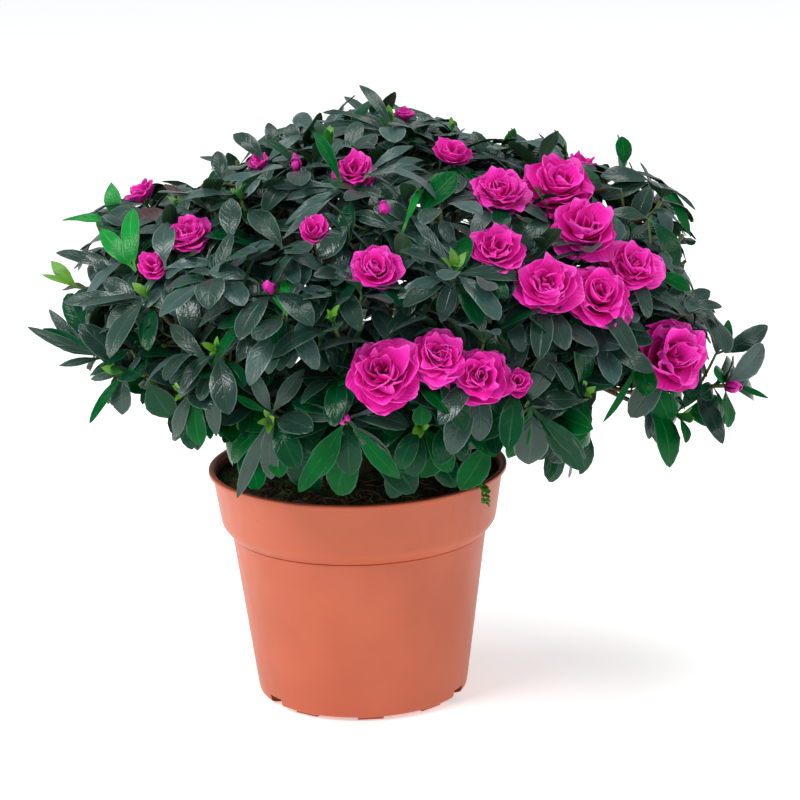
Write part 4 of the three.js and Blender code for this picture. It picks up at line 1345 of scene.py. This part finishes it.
# %% [markdown]
# ## Leaf finishes
#
# An azalea leaf is dark above, with a sunken pale midrib, a few side veins that leave it at a slant, and
# a thin pale rim. All of these follow the blade, so they are drawn from the leaf's own UV map: one
# coordinate runs from stalk to tip and the other across. The bump makes the surface swell between the
# veins, which breaks the highlights up. The under side is paler and matt.

# %% Leaf finishes
HAIR_COLOUR = (0.20, 0.32, 0.27)
SIDE_VEINS = 7.0
VEIN_SLANT = 1.6


def leaf_finish(name, colour, rib_colour, rough, gloss, hairs=0.0):
    """A leaf's finish. The blade is the colour with darker patches, the side veins are darker lines on it,
    the midrib and the stalk take the rib's colour, and the rim is pale where the hairs stand out."""
    material, shader = finish(name, rough, gloss)
    shader.inputs["Sheen Weight"].default_value = hairs
    shader.inputs["Sheen Roughness"].default_value = 0.35
    shader.inputs["Sheen Tint"].default_value = (0.78, 0.95, 1.0, 1)
    surface = add(material, "ShaderNodeUVMap", uv_map="surface").outputs[0]
    parts = add(material, "ShaderNodeSeparateXYZ", {0: surface})
    along = parts.outputs[0]
    aside = sums(material, "ABSOLUTE", sums(material, "MULTIPLY_ADD", parts.outputs[1], 2.0, -1.0))
    turns = sums(material, "MULTIPLY", along, SIDE_VEINS)
    slant = sums(material, "SUBTRACT", turns, sums(material, "MULTIPLY", aside, VEIN_SLANT))
    between = sums(material, "MULTIPLY", sums(material, "PINGPONG", slant, 0.5), 2.0)
    off_vein = step(material, between, 0.0, 0.45)
    off_rib = step(material, aside, 0.01, 0.09)
    off_lines = sums(material, "MULTIPLY_ADD", off_vein, 0.35, 0.65)
    patches = step(material, noise(material, 75, 4), 0.3, 0.7)
    darker = tuple(0.68 * c for c in colour[:3]) + (1,)
    veined = mixed(material, off_lines, darker, mixed(material, patches, darker, colour))
    on_rib = sums(material, "MULTIPLY_ADD", off_rib, -0.40, 0.40)
    stalk = step(material, along, 0.20, 0.06)
    ribbed = mixed(material, sums(material, "MAXIMUM", on_rib, stalk), veined, rib_colour)
    rim = sums(material, "MULTIPLY", step(material, aside, 0.86, 0.97), 0.3 + 2.2 * hairs)
    pale = tuple(0.5 * (c + r) for c, r in zip(rib_colour[:3], HAIR_COLOUR)) + (1,)
    paint(material, shader, mixed(material, rim, ribbed, pale))
    swell = sums(material, "MULTIPLY", off_lines, off_rib)
    swell = sums(material, "MULTIPLY_ADD", cells(material, 1100.0), -0.45, swell)
    relief(material, shader, swell, 0.0003, 0.45)
    return material


LEAF_COLOURS = {
    "slate": leaf_finish("leaf_slate", (0.013, 0.049, 0.034, 1), (0.040, 0.098, 0.055, 1), 0.24, 0.42, 0.12),
    "ashen": leaf_finish("leaf_ashen", (0.030, 0.082, 0.070, 1), (0.068, 0.148, 0.112, 1), 0.30, 0.48, 0.20),
    "deep": leaf_finish("leaf_deep", (0.001, 0.058, 0.020, 1), (0.018, 0.120, 0.034, 1), 0.19, 0.16),
    "green": leaf_finish("leaf_green", (0.000, 0.100, 0.018, 1), (0.020, 0.190, 0.040, 1), 0.18, 0.06),
    "young": leaf_finish("leaf_young", (0.002, 0.270, 0.032, 1), (0.080, 0.400, 0.070, 1), 0.28, 0.20),
    "fresh": leaf_finish("leaf_fresh", (0.120, 0.340, 0.022, 1), (0.220, 0.400, 0.050, 1), 0.40, 0.4),
    "old": leaf_finish("leaf_old", (0.060, 0.016, 0.020, 1), (0.100, 0.045, 0.035, 1), 0.36, 0.4),
    "under": leaf_finish("leaf_under", (0.021, 0.076, 0.032, 1), (0.075, 0.160, 0.058, 1), 0.50, 0.25),
    "young_under": leaf_finish("young_under", (0.050, 0.34, 0.050, 1), (0.150, 0.42, 0.090, 1), 0.5, 0.3),
}
COLOUR_NUMBER = {name: i for i, name in enumerate(LEAF_COLOURS)}
print(len(LEAF_COLOURS), "leaf finishes")

# %% [markdown]
# ## Leaf blades
#
# A blade is a grid. Its half width is a power of the way along times a power of what is left, which
# puts the widest place past the middle and leaves a short point. The midline rises and then droops, the
# two halves lift from the midrib and curl down at the rim, and a slow wave twists the whole. Each has
# its own draws for these, and its colour is dealt out by where it grows.

# %% Leaf blades
LEAF_ALONG = np.array([0, 0.12, 0.24, 0.40, 0.56, 0.72, 0.86, 0.96, 1.0])
LEAF_ACROSS = np.array([-1, -0.5, 0, 0.5, 1])
STALK = 1.3
LEAF_THICKNESS = 0.45


def leaf_grids(root, way, face, length, width, widest, blunt, arch, fold, wave, phase):
    """The blades' grids. half width = width / 2 * (t / widest) ** blunt * ((1 - t) / (1 - widest)) ** rest,
    where t runs along the blade and rest makes the product greatest at the widest place."""
    u = LEAF_ALONG[None, :, None]
    v = LEAF_ACROSS[None, None, :]
    side = np.cross(face, way)
    t = ((u - 0.12) / 0.88).clip(0, 1)
    rest = blunt * (1 - widest) / widest
    blade = (t / widest) ** blunt * ((1 - t) / (1 - widest)) ** rest
    half = np.maximum(0.5 * width * blade, np.where(u < 0.3, 0.5 * STALK, 0.1))
    rise = length * arch * (0.287 * u - 0.367 * u**2)
    rise = rise + fold * half * (np.abs(v) - 0.8 * np.abs(v) ** 3)
    rise = rise + wave * length * np.sin(9 * u + phase) * v * blade
    spot = [length * u * (1 + 0 * v), half * v, rise]
    ways = [way, side, face]
    return root[:, None, None] + sum(a[..., None] * b[:, None, None] for a, b in zip(spot, ways))


print("a blade has", len(LEAF_ALONG), "rows of", len(LEAF_ACROSS), "places")

# %% [markdown]
# ## Leaf colours and the four pieces
#
# A leaf's colour is dealt out by height and by chance: mostly grey-green on top of the crown, and deep
# or mid green below and inside. That saturated green below and inside is partly the leaves' own colour
# and partly painted light, for the light that shines through the leaves there. The leaves on the shoots
# make one piece for the low masses and one for the high ones, and so do the leaves on the side twigs.

# %% Leaves
WIDEST = 0.6
SEEN_WIDEST = 0.53
YOUNG_WIDEST = 0.50
OLD_LEAF = seen_at(-108, 93)
OLD_ROOM = 12
INSIDE = 0.66
LOW_LEVEL = 158
HIGH_LEVEL = 184


def leaf_colour(kind, place, chance):
    """The colour's name: a leaf's own if it has one, red at one place, or else by height and chance."""
    if kind in LEAF_COLOURS:
        return kind
    if np.linalg.norm(place - OLD_LEAF) < OLD_ROOM:
        return "old"
    # below and inside, the saturated greens are partly painted light that shines through the leaves
    if dome_share(place) < INSIDE or place[2] < LOW_LEVEL:
        shares = {"deep": 0.48, "green": 0.92, "slate": 1}
    elif place[2] < HIGH_LEVEL:
        shares = {"slate": 0.42, "ashen": 0.50, "deep": 0.90, "green": 1}
    else:
        shares = {"slate": 0.60, "ashen": 0.86, "deep": 0.99, "green": 1}
    return next(name for name, share in shares.items() if chance < share)


def leaf_piece(name, chosen, seed, broad=1.0):
    """One mesh of closed blades for some of the leaves, with seeded widths and bends. Leaves low on the
    crown are a little broader, and a leaf that has a width share of its own keeps it."""
    root, way, face, length, kind, given = (np.array(column) for column in zip(*chosen))
    dice = np.random.default_rng(seed)

    def draws(low, high):
        """One number for each leaf, between low and high."""
        return dice.uniform(low, high, len(chosen))[:, None, None]

    size = length[:, None, None]
    given = given[:, None, None]
    young = np.isin(kind, ["young", "fresh"])[:, None, None]
    low_share = ((195 - root[:, 2]) / 50).clip(0, 1)[:, None, None]
    young_share = draws(0.34, 0.44)
    share = np.where(young, young_share, draws(0.30, 0.43) + 0.1 * low_share)
    width = np.where(given > 0, size * given, broad * size * share)
    arch = draws(0.7, 1.9)
    fold = draws(0.15, 0.55)
    wave = draws(0, 0.035)
    phase = draws(0, 6.3)
    blunt = draws(0.75, 1.1)
    widest = np.where(young, YOUNG_WIDEST, np.where(given > 0, SEEN_WIDEST, WIDEST))
    grids = leaf_grids(root, way, face, size, width, widest, blunt, arch, fold, wave, phase)
    places, faces, upper, back_to = sheets(grids, LEAF_THICKNESS)
    middles = root + way * 0.6 * length[:, None]
    colours = [leaf_colour(*leaf) for leaf in zip(kind, middles, dice.random(len(chosen)))]
    above = np.array([COLOUR_NUMBER[colour] for colour in colours])
    below = np.where(young.ravel(), COLOUR_NUMBER["young_under"], COLOUR_NUMBER["under"])
    each = len(faces) // len(chosen)
    which = np.where(upper, np.repeat(above, each), np.repeat(below, each))
    maps = sheet_map(LEAF_ALONG, LEAF_ACROSS, back_to)
    return piece(name, places, faces, list(LEAF_COLOURS.values()), "foliage", which, maps)


own_leaves = {"low": [], "high": []}
side_leaves = {"low": [], "high": []}
low_count = len(low_names)
for leaf in leaves:
    level = "low" if np.argmin(np.linalg.norm(MIDDLES - leaf[0], axis=1)) < low_count else "high"
    group = side_leaves if leaf[4] == "inner" else own_leaves
    group[level].append(leaf)
low_leaves = leaf_piece("leaves_low", own_leaves["low"], seed=1)
high_leaves = leaf_piece("leaves_high", own_leaves["high"], seed=2)
leaf_piece("inner_leaves_low", side_leaves["low"], seed=3)
leaf_piece("inner_leaves_high", side_leaves["high"], seed=4)
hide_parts(*[f"foliage_{name}" for name, *_ in masses[:low_count]])
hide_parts(*[f"foliage_{name}" for name, *_ in masses[low_count:]])

# %% [markdown]
# ## Petals
#
# A double bloom is rings of ruffled petals. A petal is a grid in the bloom's own frame: up it runs a
# curve from the base out to its rim, and across it turns round the axis. Its outline is drawn in towards
# the corners, and near the rim a wave moves it out and in and up and down. The colour deepens towards
# the base, partly the petal's own deeper throat and partly painted shade in the heart of the bloom, and
# a painted highlight pales the very rim, both by the petal's own UV map.

# %% Petal finish
# deeper towards each petal's base: partly its own deeper throat, partly painted shade in the bloom's heart
PETAL_BASE = (0.55, 0.003, 0.16, 1)
PETAL_COLOUR = (0.92, 0.022, 0.50, 1)
# paler pink at the very rim of each petal: a painted highlight
PETAL_RIM_HIGHLIGHT = (0.95, 0.13, 0.68, 1)
PETAL_SHADE = (0.72, 0.008, 0.30, 1)

petal, petal_shader = finish("petal", 0.5, gloss=0.35)
petal_map = add(petal, "ShaderNodeUVMap", uv_map="surface").outputs[0]
petal_along = add(petal, "ShaderNodeSeparateXYZ", {0: petal_map}).outputs[0]
petal_body = mixed(petal, step(petal, petal_along, 0.05, 0.85), PETAL_BASE, PETAL_COLOUR)
# how far the painted highlight at the rim reaches
rim_highlight_share = sums(petal, "MULTIPLY", step(petal, petal_along, 0.90, 1.0), 0.7)
petal_with_rim_highlight = mixed(petal, rim_highlight_share, petal_body, PETAL_RIM_HIGHLIGHT)
shade_share = sums(petal, "MULTIPLY", step(petal, noise(petal, 90, 4), 0.42, 0.75), 0.5)
paint(petal, petal_shader, mixed(petal, shade_share, petal_with_rim_highlight, PETAL_SHADE))
wave_inputs = {"Vector": petal_map, "Scale": 5.0, "Distortion": 2.0}
crease = add(petal, "ShaderNodeTexWave", wave_inputs, bands_direction="Y").outputs["Fac"]
relief(petal, petal_shader, crease, 0.00025, 0.6)
print("petal finish made")

# %% Petals
PETAL_ALONG = np.array([0, 0.30, 0.55, 0.73, 0.87, 0.95, 1.0])
PETAL_ACROSS = np.linspace(-1, 1, 17)
PETAL_THICKNESS = 0.3
FLOWER_SHARE = 0.94  # the ruffles add to a bloom's width, so its rings are drawn in
# Each ring: petals, reach and height of the rim as shares of the bloom's radius, half width, ruffle.
RINGS = {
    "bloom": [(5, 0.98, 0.40, 1.20, 0.11), (4, 0.80, 0.66, 1.12, 0.13), (4, 0.56, 0.84, 0.92, 0.16),
              (3, 0.34, 0.86, 0.66, 0.16), (3, 0.14, 0.70, 0.34, 0.10)],
    "half": [(5, 0.90, 0.90, 1.00, 0.09), (4, 0.70, 1.12, 0.90, 0.11), (3, 0.40, 1.20, 0.66, 0.12)],
    "bud": [(3, 0.10, 2.70, 0.80, 0.0), (2, 0.06, 2.95, 0.55, 0.0)],
}


def petal_grids(base, axis, radial, over, radius, reach, height, half, ruffle, bulge, phase):
    """The petals' grids. In the plane of axis and radius the midline is a quadratic curve from the base,
    out past the bulge, to the rim. Across, places turn round the axis by width over distance."""
    u = PETAL_ALONG[None, :, None]
    v = PETAL_ACROSS[None, None, :]
    short = u * (1 - 0.05 * v**2 - 0.17 * v**4)
    out = 0.06 * (1 - short) ** 2 + 2 * bulge * short * (1 - short) + reach * short**2
    up = 2 * 0.62 * height * short * (1 - short) + height * short**2
    width = half * (0.24 + 0.76 * np.sin(0.5 * np.pi * np.minimum(1, 1.4 * u)))
    width = width * np.sqrt(1 - 0.50 * ((u - 0.55) / 0.45).clip(0, 1) ** 2)
    strength = ruffle * u**2
    crinkle = 0.30 * u**4
    out = out + strength * (0.6 * np.sin(3.6 * v + phase) + crinkle * np.sin(9 * v + 1.7 * phase))
    up = up + strength * (0.8 * np.cos(3.1 * v + 2.3 * phase) + crinkle * np.cos(10 * v + phase))
    angle = v * width / np.maximum(out, 0.16)
    spot = [out * np.cos(angle) * radius, out * np.sin(angle) * radius, up * radius]
    ways = [radial, over, axis]
    return base[:, None, None] + sum(a[..., None] * b[:, None, None] for a, b in zip(spot, ways))


def flower_petals(shoot, draw):
    """Rows of what petal_grids takes, for one flower. A flower of the near side turns to the eye."""
    radius = FLOWER_SHARE * shoot.width / 2
    axis = unit(shoot.axis - AWAY * (0.6 if shoot.tip[1] < 0 else 0))
    across = unit(np.cross(UP, axis))
    rows = []
    for level, (count, reach, height, half, ruffle) in enumerate(RINGS[shoot.kind]):
        for i in range(count):
            azimuth = 2 * np.pi * (i + 0.5 * level + draw(-0.3, 0.3)) / count
            radial = across * np.cos(azimuth) + np.cross(axis, across) * np.sin(azimuth)
            own_axis = unit(axis + radial * draw(-0.14, 0.2) + np.cross(axis, radial) * draw(-0.12, 0.12))
            radial = facing(radial, own_axis)
            lift = draw(0.78, 1.16)
            spread = draw(0.82, 1.05) * reach
            bulge = draw(0.5, 0.75) * reach if shoot.kind != "bud" else 1.15
            own_half = half * draw(0.85, 1.1)
            own_ruffle = ruffle * draw(0.7, 1.3)
            row = (radius, spread, height * lift, own_half, own_ruffle, bulge, draw(0, 6.3))
            rows.append((shoot.tip, own_axis, radial, np.cross(own_axis, radial), *row))
    return rows


def petal_piece(name, flowers):
    """One mesh of closed petals for some of the flowers."""
    rows = []
    for shoot in flowers:
        rows += flower_petals(shoot, seeded(9000 + shoot.number))
    columns = [np.array(column) for column in zip(*rows)]
    grids = petal_grids(*columns[:4], *[column[:, None, None] for column in columns[4:]])
    places, faces, _, back_to = sheets(grids, PETAL_THICKNESS)
    return piece(name, places, faces, [petal], "foliage", 0, sheet_map(PETAL_ALONG, PETAL_ACROSS, back_to))


flowering = [shoot for shoot in shoots if shoot.width > 0]
petal_piece("blooms_front", [shoot for shoot in flowering if shoot.tip[1] < 0])
petal_piece("blooms_back", [shoot for shoot in flowering if shoot.tip[1] >= 0])

# %% [markdown]
# ## Sepals
#
# A few small green leaves clasp each bloom and bud from below. They are leaf blades too, only short and
# upright.

# %% Sepals
SEPAL_BELOW = 1.2
sepals = []
for shoot in flowering:
    draw = seeded(11000 + shoot.number)
    for i in range(WHORL_LEAVES):
        azimuth = (i + draw(0, 0.4)) * SECTOR
        lean = np.radians(draw(30, 60) if shoot.kind != "bud" else draw(16, 30))
        way = unit(shoot.leaning(azimuth, lean))
        start = shoot.tip - shoot.axis * SEPAL_BELOW
        sepals.append((start, way, facing(shoot.axis, way), draw(5, 8), "fresh", 0))
leaf_piece("sepals", sepals, seed=5)

# %% [markdown]
# ## A weed at the rim
#
# A tiny pale weed creeps out of the peat and over the rim at the right. Its leaves are blades of three
# or four millimetres, set by turns along a short curve that hangs down outside the collar.

# %% Weed
WEED_CURVE = np.array([[[51.5, -39.0, 108.5], [56.9, -44.5, 117.0], [57.9, -45.6, 103.5]]])
WEED_LEAVES = 18
WEED_TURN = 2.4
WEED_RADIUS = 0.3
WEED_OUT = unit(np.array([1.0, -0.7, 0]))
WEED_ASIDE = np.array([0.7, 1.0, 0]) / np.hypot(0.7, 1.0)
draw = seeded(13000)
weed = []
for i in range(WEED_LEAVES):
    start = bezier(WEED_CURVE[0], [0.35 + 0.65 * i / WEED_LEAVES])[0]
    outwards = WEED_OUT * (0.55 + 0.3 * np.cos(WEED_TURN * i))
    way = unit(outwards + WEED_ASIDE * np.sin(WEED_TURN * i) + UP * draw(-0.5, 0.5))
    weed.append((start, way, facing(UP + WEED_OUT, way), draw(3.0, 4.8), "fresh", 0))
leaf_piece("weed", weed, seed=6, broad=1.8)
piece("weed_stalk", *tubes(WEED_CURVE, np.full((1, 9, 1), WEED_RADIUS), 5), [green_wood], "foliage")
